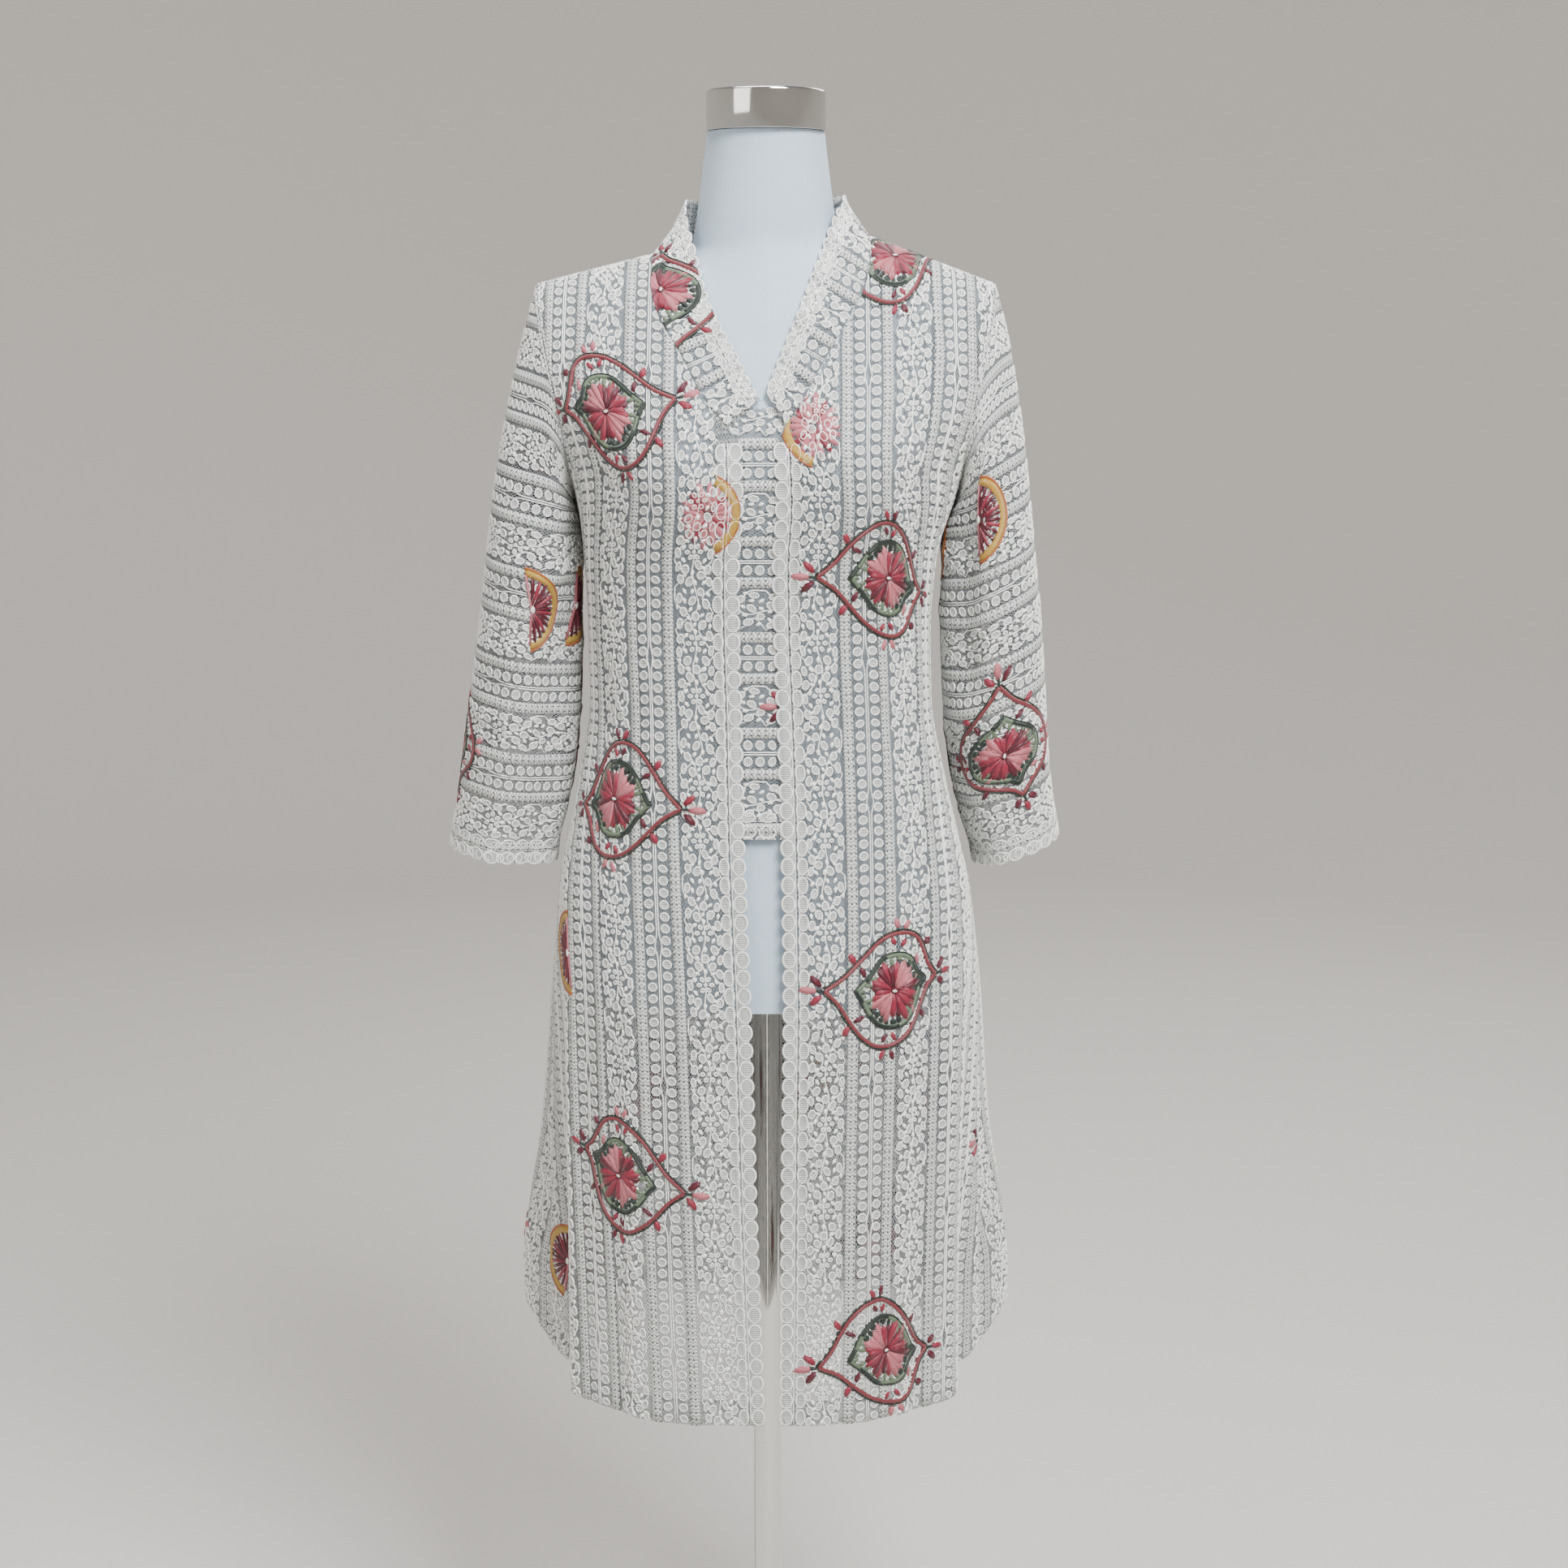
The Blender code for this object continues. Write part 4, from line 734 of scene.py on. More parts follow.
def form_depth(x, height, facing, side):
    """Depth of the dress form under the cloth, with its neck."""
    x, height = np.broadcast_arrays(np.asarray(x, float), np.asarray(height, float))
    share = np.minimum(np.abs(x) / BODY["half_width"](height), 1.0)
    depth = BODY["front_depth" if facing == FRONT else "back_depth"](height)
    body_part = depth * (1.0 - share ** SECTION_POWER) ** (1.0 / SECTION_POWER)
    drop = ridge(np.abs(x), side) - FORM_RIDGE_DROP - height
    body_part = body_part * roll(drop)
    if facing == FRONT:
        body_part = body_part + bust(np.abs(x), height) * roll(drop)
    body_part = np.where(drop <= 0.0, 0.0, body_part)
    body_part = np.maximum(body_part - CLEARANCE(height), 0.0)
    across = np.maximum(1.0 - (x / NECK["half_width"](height)) ** 2, 0.0)
    neck = np.maximum(NECK["half_depth"](height), 0.0) * np.sqrt(across)
    neck = np.where(neck > 0.0, np.maximum(neck + facing * NECK_Y, 0.0), 0.0)
    return (body_part ** NECK_BLEND_POWER + neck ** NECK_BLEND_POWER) ** (1.0 / NECK_BLEND_POWER)


def through(points, count):
    """A smooth line through points, with count places between each two."""
    points = np.asarray(points, float)
    padded = np.concatenate((2 * points[:1] - points[1:2], points, 2 * points[-1:] - points[-2:-1]))
    line = []
    for index in range(len(points) - 1):
        a, b, c, d = padded[index:index + 4]
        for step in range(count):
            t = step / count
            line.append(0.5 * (2 * b + (c - a) * t + (2 * a - 5 * b + 4 * c - d) * t * t
                               + (3 * b - a - 3 * c + d) * t ** 3))
    return np.array(line + [points[-1]])


BAND_PLACES = 12            # places between each two points of a collar's borders


def collar_cloth(side):
    """A collar band: u runs along it from the V round to the middle of the back, v up to its free edge."""
    top = ridge(NECK_SIDE_X[side], side)
    heights = np.array(NECK_HEIGHTS[side] + (top - TOP_ROW_DROP,))
    seams = body(side, FRONT, angle_of(NECKLINE[side](heights), heights), heights, plain=True)
    seams[0] = mix(seams[0], seams[1], BAND_FOOT_SHARE)
    pairs = []
    for seam, (x, height, stand) in zip(seams, BAND_EDGE_FRONT[side]):
        depth = float(form_depth(x, height, FRONT, side)) + stand
        pairs.append((seam, (side * x, CENTRE_Y - depth, height)))
    back_seams = [np.array((side * NECK_SIDE_X[side], CENTRE_Y, top))]
    for share in BACK_NECK_SHARES:
        x, height = back_top(side, neck_share(side) * share)
        back_seams.append(body(side, BACK, angle_of(x, height), height, plain=True))
    for seam, (x, y, height) in zip(back_seams, BAND_EDGE_BACK[side]):
        pairs.append((seam, (side * x, y, height)))
    seam_line, edge_line = (through(line, BAND_PLACES) for line in zip(*pairs))
    middle = (seam_line + edge_line) / 2.0
    marks = lengths(middle)
    wanted = np.arange(-2, int(marks[-1] / STEP) + 4) * STEP
    feet = at_lengths(seam_line, marks, wanted)
    tops = at_lengths(edge_line, marks, wanted)
    widths = np.linalg.norm(tops - feet, axis=-1)
    across = np.arange(-2, 16) * STEP
    points = feet[:, None] + (tops - feet)[:, None] * (across[None, :, None] / widths[:, None, None])
    name = "collar_left" if side == LEFT else "collar_right"
    cloth = Cloth(name, wanted[0], across[0], points, side)
    cloth.limit("u_low", [-1.0, 1.0], [0.0, 0.0])
    cloth.limit("u_high", [-1.0, 1.0], [marks[-1] - SEAM_GAP / 2.0] * 2)
    cloth.limit("v_low", wanted, np.full(len(wanted), SEAM_GAP))
    cloth.limit("v_high", wanted, widths)
    return cloth


PANEL_MARGIN, PANEL_SIDE_MARGIN = 0.012, 0.010
PANEL_FIRST, PANEL_LAST = -11, 9    # steps from the middle line to the table's first and last column
PANEL_ALONG = np.arange(-2, 75) * STEP


def panel_cloth():
    """The centre panel behind the fronts: u runs up it, v from left to right."""
    heights = np.linspace(PANEL_BOTTOM - PANEL_MARGIN, PANEL_TOP + PANEL_MARGIN, 90)
    xs = np.linspace(PANEL_LEFT - PANEL_SIDE_MARGIN, PANEL_RIGHT + PANEL_SIDE_MARGIN, 60)
    lean = BODY["lean"](heights)[:, None]
    away = xs[None, :] - lean
    angles = angle_of(np.abs(away), heights[:, None])
    left, right = (body(side, FRONT, angles, heights[:, None], plain=True) for side in (LEFT, RIGHT))
    points = np.where((xs[None, :, None] < 0.0), left, right)
    points[..., 0] = lean + np.sign(away) * np.abs(points[..., 0] - lean)
    normals = np.cross(np.gradient(points, axis=1), np.gradient(points, axis=0))
    normals /= np.linalg.norm(normals, axis=-1, keepdims=True)
    points = points - normals * (WALL + LAYER_GAP)
    middle = int(np.argmin(np.abs(xs)))
    wanted = np.arange(PANEL_FIRST, PANEL_LAST) * STEP
    lines = []
    for line in points:
        marks = lengths(line)
        lines.append(at_lengths(line, marks - marks[middle], wanted))
    lines = np.stack(lines)
    marks = lengths(lines, axis=0)
    start, end = np.interp((PANEL_BOTTOM, PANEL_TOP), heights, marks[:, -PANEL_FIRST])
    table = [at_lengths(lines[:, k], marks[:, k] - start, PANEL_ALONG) for k in range(len(wanted))]
    cloth = Cloth("centre_panel", PANEL_ALONG[0], wanted[0], np.stack(table, axis=1), -1.0)
    top = float(end - start)
    cloth.limit("u_low", [-1.0, 1.0], [-SCALLOP_DEPTH * 0.5] * 2)
    cloth.limit("u_high", [-1.0, 1.0], [top, top])
    cloth.limit("v_low", [-1.0, 1.0], [PANEL_LEFT, PANEL_LEFT])
    cloth.limit("v_high", [-1.0, 1.0], [PANEL_RIGHT, PANEL_RIGHT])
    return cloth


# ---- Flat motifs, made with the mesh tools and then laid on the cloths ----

class Motif:
    """A flat pattern: its points, faces grouped by how many corners they have, and what each face and point is."""

    def __init__(self, work):
        work.verts.index_update()
        self.points = np.array([vert.co[:] for vert in work.verts], float).reshape(-1, 3)
        groups = {}
        for face in work.faces:
            groups.setdefault(len(face.verts), []).append([vert.index for vert in face.verts] + [face.material_index])
        self.groups = {size: np.array(rows) for size, rows in groups.items()}
        layer = work.verts.layers.float_vector.get("thread")
        self.thread = np.zeros_like(self.points)
        if layer is not None:
            self.thread = np.array([vert[layer][:] for vert in work.verts], float)
        work.free()


CORD, FILL, TAPE = range(3)


def new_work():
    """An empty mesh whose points can hold how far they lie across the threads."""
    work = bmesh.new()
    work.verts.layers.float_vector.new("thread")
    return work


def top_of(work, base):
    """The copy of a face that is lifted off it, with walls between the two."""
    raised = bmesh.ops.extrude_face_region(work, geom=[base], use_keep_orig=True)["geom"]
    return [item for item in raised if isinstance(item, bmesh.types.BMFace)][0]


def put(work, verts, middle, turn):
    """Moves what was made at the origin to its place."""
    place = Matrix.Translation((middle[0], middle[1], 0.0)) @ Matrix.Rotation(math.radians(turn), 4, "Z")
    bmesh.ops.transform(work, matrix=place, verts=verts)


def add_oval(work, middle, half, turn=0.0, sides=8, rim=0.0005, slope=0.0006):
    """A filled oval of the lace: a raised cord round a lower, hatched filling."""
    made = bmesh.ops.create_circle(work, cap_ends=True, segments=sides, radius=1.0)["verts"]
    base = made[0].link_faces[0]
    for vert in made:
        vert.co = Vector((vert.co.x * half[0], vert.co.y * half[1], UNDER))
    top = top_of(work, base)
    crest = list(top.verts)
    for vert in crest:
        vert.co *= 1.0 - rim / math.hypot(vert.co.x, vert.co.y)
        vert.co.z = RIM_LIFT
    flat = bmesh.ops.inset_region(work, faces=[top], thickness=slope, use_even_offset=True)["faces"]
    for vert in top.verts:
        vert.co.z = FILL_LIFT
    for face in {face for vert in crest for face in vert.link_faces}:
        face.material_index = CORD
    top.material_index = base.material_index = FILL
    if top.normal.z < 0.0:
        top.normal_flip()
    put(work, list({vert for face in flat + [top, base] for vert in face.verts}), middle, turn)


def add_strip(work, line, profile, material=0, closed=False, capped=True):
    """A strip along a flat line, closed all round; the profile gives (offset, lift) across it."""
    line = np.asarray(line, float)
    if closed:
        ahead = np.roll(line, -1, axis=0) - np.roll(line, 1, axis=0)
    else:
        ahead = np.gradient(line, axis=0)
    ahead = ahead / np.maximum(np.linalg.norm(ahead, axis=-1, keepdims=True), 1e-12)
    sideways = np.stack((-ahead[:, 1], ahead[:, 0]), axis=-1)
    count = len(line) + (1 if closed else 0)
    across = len(profile)
    grid = bmesh.ops.create_grid(work, x_segments=across, y_segments=count - 1, size=1.0)["verts"]
    marks = lengths(line)
    thread = work.verts.layers.float_vector.get("thread")
    for index, vert in enumerate(grid):
        row, column = divmod(index, across + 1)
        spot = row % len(line)
        offset, lift = profile[column % across]
        place = line[spot] + sideways[spot] * offset
        vert.co = Vector((place[0], place[1], lift))
        if thread is not None:
            vert[thread] = Vector((marks[spot] + offset, 0.0, 0.0))
    faces = list({face for vert in grid for face in vert.link_faces})
    for face in faces:
        face.material_index = material
    bmesh.ops.remove_doubles(work, verts=grid, dist=1e-7)
    if capped and not closed:
        edges = {edge for face in faces for edge in face.edges if edge.is_boundary}
        for face in bmesh.ops.holes_fill(work, edges=list(edges), sides=0)["faces"]:
            face.material_index = material


def cord_profile(width, lift):
    return ((-width / 2.0, UNDER), (0.0, lift), (width / 2.0, UNDER))


def band_profile(width, lift, offset=0.0, crown=0.0003, edge=0.0004):
    """A flat-topped band across, a little higher in its middle."""
    half = width / 2.0
    return ((offset - half, UNDER), (offset - half + edge, lift), (offset, lift + crown),
            (offset + half - edge, lift), (offset + half, UNDER))


CELL_U, CELL_V = 0.079, 0.120
OVAL_PITCH = 0.010
TAPES, TAPE_EDGE = ((0.0355, 0.0445), (0.0695, 0.0785)), 0.0005
OVAL_COLUMNS = (0.0502, 0.0638)
STEM_U = 0.0570

# The floral band, in millimetres: (across, up, half width, half height, turn) of each filled oval and leaf
FLORAL_OVALS = (
    (5.0, 4.0, 2.6, 4.2, -14), (11.5, 9.5, 3.4, 3.8, 20), (6.2, 14.0, 3.0, 4.4, 12), (13.8, 18.2, 2.6, 4.6, -24),
    (21.0, 4.5, 3.2, 4.6, 28), (28.5, 6.5, 2.8, 4.4, -12), (24.5, 14.8, 3.2, 4.2, 8), (30.2, 17.0, 2.2, 4.6, 16),
    (4.4, 27.0, 2.4, 4.6, 4), (30.6, 29.0, 2.6, 4.8, -8), (5.4, 38.5, 3.0, 4.4, -20), (11.2, 44.8, 3.0, 3.8, 26),
    (29.5, 40.0, 3.2, 4.2, 14), (22.8, 45.2, 2.8, 4.6, -26), (4.6, 50.2, 2.4, 4.4, 8), (16.8, 51.5, 3.2, 4.0, 0),
    (29.8, 51.8, 2.6, 4.6, -10), (8.8, 58.5, 3.0, 4.6, -30), (24.2, 58.8, 3.2, 4.2, 22), (4.2, 67.0, 2.4, 4.6, 10),
    (30.8, 65.5, 2.4, 4.6, -6), (29.6, 76.8, 3.0, 4.4, 18), (5.2, 79.0, 2.8, 4.6, -12), (11.0, 88.2, 3.2, 4.2, 24),
    (22.6, 86.5, 3.0, 4.4, -18), (29.8, 89.4, 2.6, 4.8, 6), (5.4, 94.6, 2.6, 4.2, 14), (16.6, 95.4, 3.2, 4.2, -6),
    (26.4, 99.2, 3.0, 4.2, -24), (7.6, 105.6, 3.0, 4.6, -18), (19.0, 108.2, 2.8, 4.4, 30), (29.8, 110.4, 2.6, 4.6, 8),
    (12.0, 115.6, 2.8, 3.8, -10),
)
# Smaller fillings between them
FLORAL_SMALL = (
    (9.4, 3.2, 1.6, 2.6, 40), (16.4, 3.6, 1.5, 2.8, -20), (25.2, 9.8, 1.5, 2.4, 60), (9.6, 15.6, 1.4, 2.8, -60),
    (18.6, 11.4, 1.6, 3.0, 10), (8.8, 21.6, 1.6, 2.8, 30), (26.0, 22.8, 1.6, 2.8, -40), (8.6, 32.2, 1.6, 2.8, -20),
    (26.2, 33.6, 1.6, 2.6, 35), (17.0, 40.8, 1.6, 2.6, 0), (10.8, 39.0, 1.4, 2.6, 60), (24.0, 39.4, 1.4, 2.6, -60),
    (10.4, 51.6, 1.7, 2.8, 40), (23.4, 52.2, 1.7, 2.8, -40), (16.6, 59.4, 1.8, 2.8, 0), (30.8, 58.6, 1.4, 2.6, 10),
    (9.6, 66.6, 1.5, 2.8, 30), (25.6, 67.0, 1.5, 2.8, -30), (8.8, 77.0, 1.5, 2.6, -40), (24.6, 79.6, 1.6, 2.8, 40),
    (16.8, 82.4, 1.6, 2.8, 0), (4.8, 87.0, 1.5, 2.8, 10), (17.4, 88.6, 1.4, 2.4, 30), (11.2, 96.2, 1.5, 2.6, 50),
    (22.0, 94.0, 1.4, 2.6, -50), (13.6, 103.0, 1.7, 2.8, 0), (20.6, 101.2, 1.5, 2.6, 30), (25.4, 108.4, 1.5, 2.8, -10),
    (6.0, 113.8, 1.5, 2.8, -30), (18.8, 116.2, 1.6, 2.6, 20), (25.2, 116.4, 1.5, 2.8, -30), (31.6, 103.4, 1.3, 2.6, 0),
)
# Rosettes of small ovals round a ring, as (across, up, radius, petals)
FLORAL_ROSETTES = ((17.6, 29.5, 5.2, 6), (17.2, 73.0, 5.6, 6))
# Stems that wind up the band, as places that each one passes
FLORAL_STEMS = (
    ((1.0, 0.0), (9.0, 12.0), (2.0, 24.0), (10.0, 36.0), (15.0, 48.0), (3.0, 62.0), (9.0, 74.0), (14.0, 86.0),
     (2.0, 98.0), (11.0, 110.0), (1.0, 120.0)),
    ((33.5, 0.0), (25.0, 10.0), (33.5, 22.0), (27.0, 36.0), (20.0, 46.0), (33.0, 60.0), (26.0, 72.0), (33.5, 84.0),
     (22.0, 96.0), (33.0, 106.0), (33.5, 120.0)),
    ((17.0, 0.0), (19.0, 12.0), (17.5, 23.0), (17.5, 37.0), (20.0, 52.0), (16.5, 66.0), (17.0, 80.0), (20.5, 92.0),
     (14.0, 104.0), (17.0, 120.0)),
)


PETAL_POINTED, PETAL_RIM = 1.3, 0.72


def add_petal(work, middle, half, turn, floss, lift=0.0016, taper=0.0, sides=8):
    """A satin-stitched petal, bud or leaf, ridged along its middle and pointed at both ends."""
    made = bmesh.ops.create_circle(work, cap_ends=True, segments=sides, radius=1.0)["verts"]
    for vert in made:
        around = math.atan2(vert.co.x, vert.co.y)
        across = math.copysign(abs(math.sin(around)) ** PETAL_POINTED, vert.co.x) * (1.0 + taper * math.cos(around))
        vert.co = Vector((across * half[0], math.cos(around) * half[1], UNDER))
    base = made[0].link_faces[0]
    top = top_of(work, base)
    rim = list(top.verts)
    for vert in rim:
        vert.co.z = lift * PETAL_RIM
    if top.normal.z < 0.0:
        top.normal_flip()
    crown = bmesh.ops.poke(work, faces=[top])["verts"][0]
    crown.co.z = lift
    verts = made + rim + [crown]
    thread = work.verts.layers.float_vector["thread"]
    for vert in verts:
        vert[thread] = Vector((vert.co.x, 0.0, 0.0))
    for face in {face for vert in verts for face in vert.link_faces}:
        face.material_index = floss
    put(work, verts, middle, turn)


def flat_line(places, count, mirror=1.0):
    """A smooth flat line through places in millimetres, with count places between each two."""
    return through(np.array([(mirror * x, y, 0.0) for x, y in places]) * MM, count)[:, :2]


STEM_BULGE, STEM_HALF, BULGE_TALL = 0.0022, 0.0009, 0.006
STEM_CORD, COLUMN_CORD = 0.0016, 0.0014


def lace_cell():
    """One repeat of the lace: a floral band, a tape, two columns of ovals with a stem between, and a tape."""
    work = new_work()
    for u, v, half_u, half_v, turn in FLORAL_OVALS:
        add_oval(work, (u * MM, v * MM), (half_u * 1.14 * MM, half_v * 1.06 * MM), turn)
    for u, v, half_u, half_v, turn in FLORAL_SMALL:
        add_petal(work, (u * MM, v * MM), (half_u * MM, half_v * MM), turn, CORD, RIM_LIFT * 0.9, sides=5)
    for u, v, radius, petals in FLORAL_ROSETTES:
        add_oval(work, (u * MM, v * MM), (1.8 * MM, 1.8 * MM), sides=7)
        for index in range(petals):
            turn = 2.0 * math.pi * index / petals
            middle = ((u + radius * math.cos(turn)) * MM, (v + radius * math.sin(turn)) * MM)
            add_oval(work, middle, (2.7 * MM, 2.2 * MM), math.degrees(turn), sides=6)
    for places in FLORAL_STEMS:
        add_strip(work, flat_line(places, 3), cord_profile(STEM_CORD, RIM_LIFT * 0.9), capped=False)
    for index in range(round(CELL_V / OVAL_PITCH)):
        v = (index + 0.5) * OVAL_PITCH
        tall = 0.0041 if index else 0.0034
        for column, sign in zip(OVAL_COLUMNS, (1.0, -1.0)):
            add_oval(work, (column, v), (0.0044, tall), 24.0 * sign, sides=10)
    level = np.linspace(0.0, CELL_V, 13)
    bulge = STEM_BULGE * bell((level - CELL_V * 0.5) / BULGE_TALL) + STEM_HALF
    for sign in (-1.0, 1.0):
        line = np.stack((STEM_U + sign * bulge, level), axis=-1)
        add_strip(work, line, cord_profile(COLUMN_CORD, RIM_LIFT), capped=False)
    for start, end in TAPES:
        line = np.stack((np.full(13, (start + end) / 2.0), level), axis=-1)
        half = (end - start) / 2.0
        top, inner = RIM_LIFT * 0.6, half - TAPE_EDGE
        profile = ((-half, UNDER), (-inner, top), (inner, top), (half, UNDER))
        add_strip(work, line, profile, TAPE, capped=False)
    return Motif(work)


# A scalloped edge: its filled strips as (u, width), its cords' u, and its ovals as (u, half sizes, sides, rim, slope)
LOBE_STRIPS, LOBE_CORDS = ((0.0042, 0.0088), (0.0134, 0.0036)), (0.0092, 0.0120)
LOBE_OVALS = ((0.0030, (0.0062, 0.0080), 14, 0.0008, 0.0007), (0.0152, (0.0048, 0.0077), 12, 0.0007, 0.0006))


def lobe_cell():
    """One scallop of an edge: an outer lobe, a strip of open net, and an inner lobe."""
    work = bmesh.new()
    middle = SCALLOP_PITCH / 2.0
    ends = np.array(((0.0, 0.0), (0.0, middle), (0.0, SCALLOP_PITCH)))
    for u, width in LOBE_STRIPS:
        add_strip(work, ends + (u, 0.0), band_profile(width, FILL_LIFT, crown=0.0), FILL, capped=False)
    for u in LOBE_CORDS:
        add_strip(work, ends + (u, 0.0), cord_profile(COLUMN_CORD, RIM_LIFT), capped=False)
    for u, half, sides, rim, slope in LOBE_OVALS:
        add_oval(work, (u, middle), half, sides=sides, rim=rim, slope=slope)
    return Motif(work)


# Embroidery, in millimetres, with its long way up. The same vine is used all over, also mirrored.
MAROON, ROSE, PINK, DARK_GREEN, SAGE, YELLOW, ORANGE, IVORY, STEM = range(9)
# Each floss, as (name, its colour, a lighter colour painted on each thread's crown as a highlight)
FLOSS = (
    ("floss_maroon", "43091A", "741B31"), ("floss_rose", "75172B", "A8384D"), ("floss_pink", "A5505C", "D68E93"),
    ("floss_dark_green", "101915", "2E3E37"), ("floss_sage", "4D5E49", "84937A"), ("floss_yellow", "A07A26", "D2AC54"),
    ("floss_orange", "94441A", "C07034"), ("floss_ivory", "EFE9DC", "FFFFFF"),
    ("floss_stem", "661F28", "964A4E"),
)
VINES = (
    ((0, 62), (-12, 49), (-27, 38), (-39, 27), (-47, 14), (-47, 0), (-38, -12), (-25, -20), (-11, -26), (3, -32),
     (12, -40)),
    ((0, 62), (11, 46), (25, 33), (38, 20), (47, 6), (49, -8), (44, -19), (32, -26), (21, -32), (12, -40)),
)
# Leaves, as (across, up, half width, half length, turn, floss)
VINE_LEAVES = (
    (0, 76, 3.2, 8.0, 0, PINK), (8.0, 70, 3.0, 6.6, -42, MAROON), (-8.0, 69, 3.0, 6.4, 44, ROSE),
    (14.5, -51, 2.6, 5.6, -165, ROSE), (21, -45, 2.8, 5.6, -122, MAROON), (6.5, -46, 3.0, 4.4, 140, MAROON),
    (27, 40, 3.0, 5.2, -58, ROSE), (16, 30, 2.4, 4.8, -62, MAROON), (-34, 41, 2.8, 5.0, 64, ROSE),
    (-24, 31, 2.2, 5.2, 28, MAROON), (57, 2, 2.4, 4.6, -70, PINK), (56, -7, 2.4, 4.6, -118, PINK),
    (42, 4, 2.0, 3.8, -62, ROSE), (41, -5, 2.0, 3.8, -122, ROSE), (41, -29, 3.2, 3.8, -150, MAROON),
    (27, -19, 1.9, 5.0, -78, PINK), (-55, 7, 2.3, 4.8, 66, ROSE), (-55, -2, 2.3, 4.8, 112, MAROON),
    (-41, 6, 2.0, 4.0, 60, MAROON), (-39, -2, 2.0, 4.0, 118, ROSE), (-20, -28, 2.4, 5.2, 130, MAROON),
    (-15, -17, 1.9, 4.8, 100, PINK),
)
CUP = (
    (0, 36), (-10, 29), (-21, 22), (-30, 12), (-32, -1), (-26, -12), (-13, -19), (2, -24), (10, -29),
    (17, -20), (28, -13), (32, -2), (27, 13), (12, 25),
)
CUP_SHADE = ((0, 5), (8, 19), (28, 40), (47, 54))   # stretches of the cup's line with a darker green on them
VINE_TIPS = (((0, 62), (0, 69)), ((12, -40), (14, -47)))
STEM_WIDE, STEM_HIGH, STITCH_HIGH = 0.0037, 0.0014, 0.0012
PETALS = 26
PETAL_WIDE, PETAL_START = 3.0, 1.6
# The flower's quarters: two pink ones across from each other, and crimson between them
PETAL_FLOSS = (
    ROSE, MAROON, ROSE, MAROON, ROSE, ROSE, MAROON, ROSE, ROSE, PINK, PINK, PINK, PINK,
    ROSE, MAROON, ROSE, MAROON, ROSE, MAROON, ROSE, ROSE, MAROON, PINK, PINK, PINK, PINK,
)


def vine_motif(mirror=1.0):
    """Two stems that part and meet again round a cup of leaves and a ragged flower."""
    work = new_work()
    for places, inside in zip(VINES, (mirror, -mirror)):
        line = flat_line(places, 5, mirror)
        add_strip(work, line, band_profile(STEM_WIDE, STEM_HIGH), STEM)
        add_strip(work, line, band_profile(0.0019, STITCH_HIGH, -0.0025 * inside, 0.0), DARK_GREEN)
    for places in VINE_TIPS:
        add_strip(work, flat_line(places, 3, mirror), band_profile(0.0028, STEM_HIGH), DARK_GREEN)
    for x, y, wide, tall, turn, floss in VINE_LEAVES:
        add_petal(work, (mirror * x * MM, y * MM), (wide * MM, tall * MM), turn * mirror, floss)
    line = flat_line(CUP + CUP[:1], 4, mirror)[:-1]
    add_strip(work, line, band_profile(0.0040, STITCH_HIGH, 0.0014 * mirror), SAGE, closed=True)
    add_strip(work, line, band_profile(0.0016, 0.0015, -0.0010 * mirror, 0.0), DARK_GREEN, closed=True)
    for first, last in CUP_SHADE:
        add_strip(work, line[first:last], band_profile(0.0034, STEM_HIGH, 0.0012 * mirror), DARK_GREEN)
    for index in range(0, len(line), 2):
        x, y = line[index] / MM
        dark = 7 < index < 19 or 27 < index < 42
        turn = math.degrees(math.atan2(y, x)) + 90.0
        size = (2.9, 3.4) if dark and index % 4 == 0 else (1.9, 3.6 + 1.4 * math.sin(2.1 * index))
        share = 1.0 - (size[1] + 2.0) / math.hypot(x, y)
        floss = DARK_GREEN if dark else SAGE
        add_petal(work, (x * share * MM, y * share * MM), (size[0] * MM, size[1] * MM), turn, floss, 0.0015)
    for index in range(PETALS):
        turn = 360.0 * index / PETALS
        c, s = math.cos(math.radians(turn)), math.sin(math.radians(turn))
        reach = (20.0 + 2.8 * math.sin(4.3 * index)) * (1.0 + 0.26 * abs(c))
        half = (reach - PETAL_START) / 2.0
        middle = (mirror * c * (PETAL_START + half) * MM, s * (PETAL_START + half) * MM)
        lift = 0.0017 + 0.0003 * (index % 2)
        size = (PETAL_WIDE * MM, half * MM)
        add_petal(work, middle, size, (turn - 90.0) * mirror, PETAL_FLOSS[index], lift, taper=0.6)
    add_petal(work, (0.0, 0.0), (2.8 * MM, 3.4 * MM), 0.0, MAROON, 0.0024)
    add_petal(work, (0.0, 0.0), (1.3 * MM, 2.2 * MM), 0.0, IVORY, 0.0029)
    return Motif(work)


FAN_INNER, FAN_POINTED, FAN_CRESCENT, RAY_START = 0.88, 1.15, slice(15, 27), 2.5
FAN_SIDE = ((0.0, 0.030), (0.0006, 0.0), (0.0, -0.030))


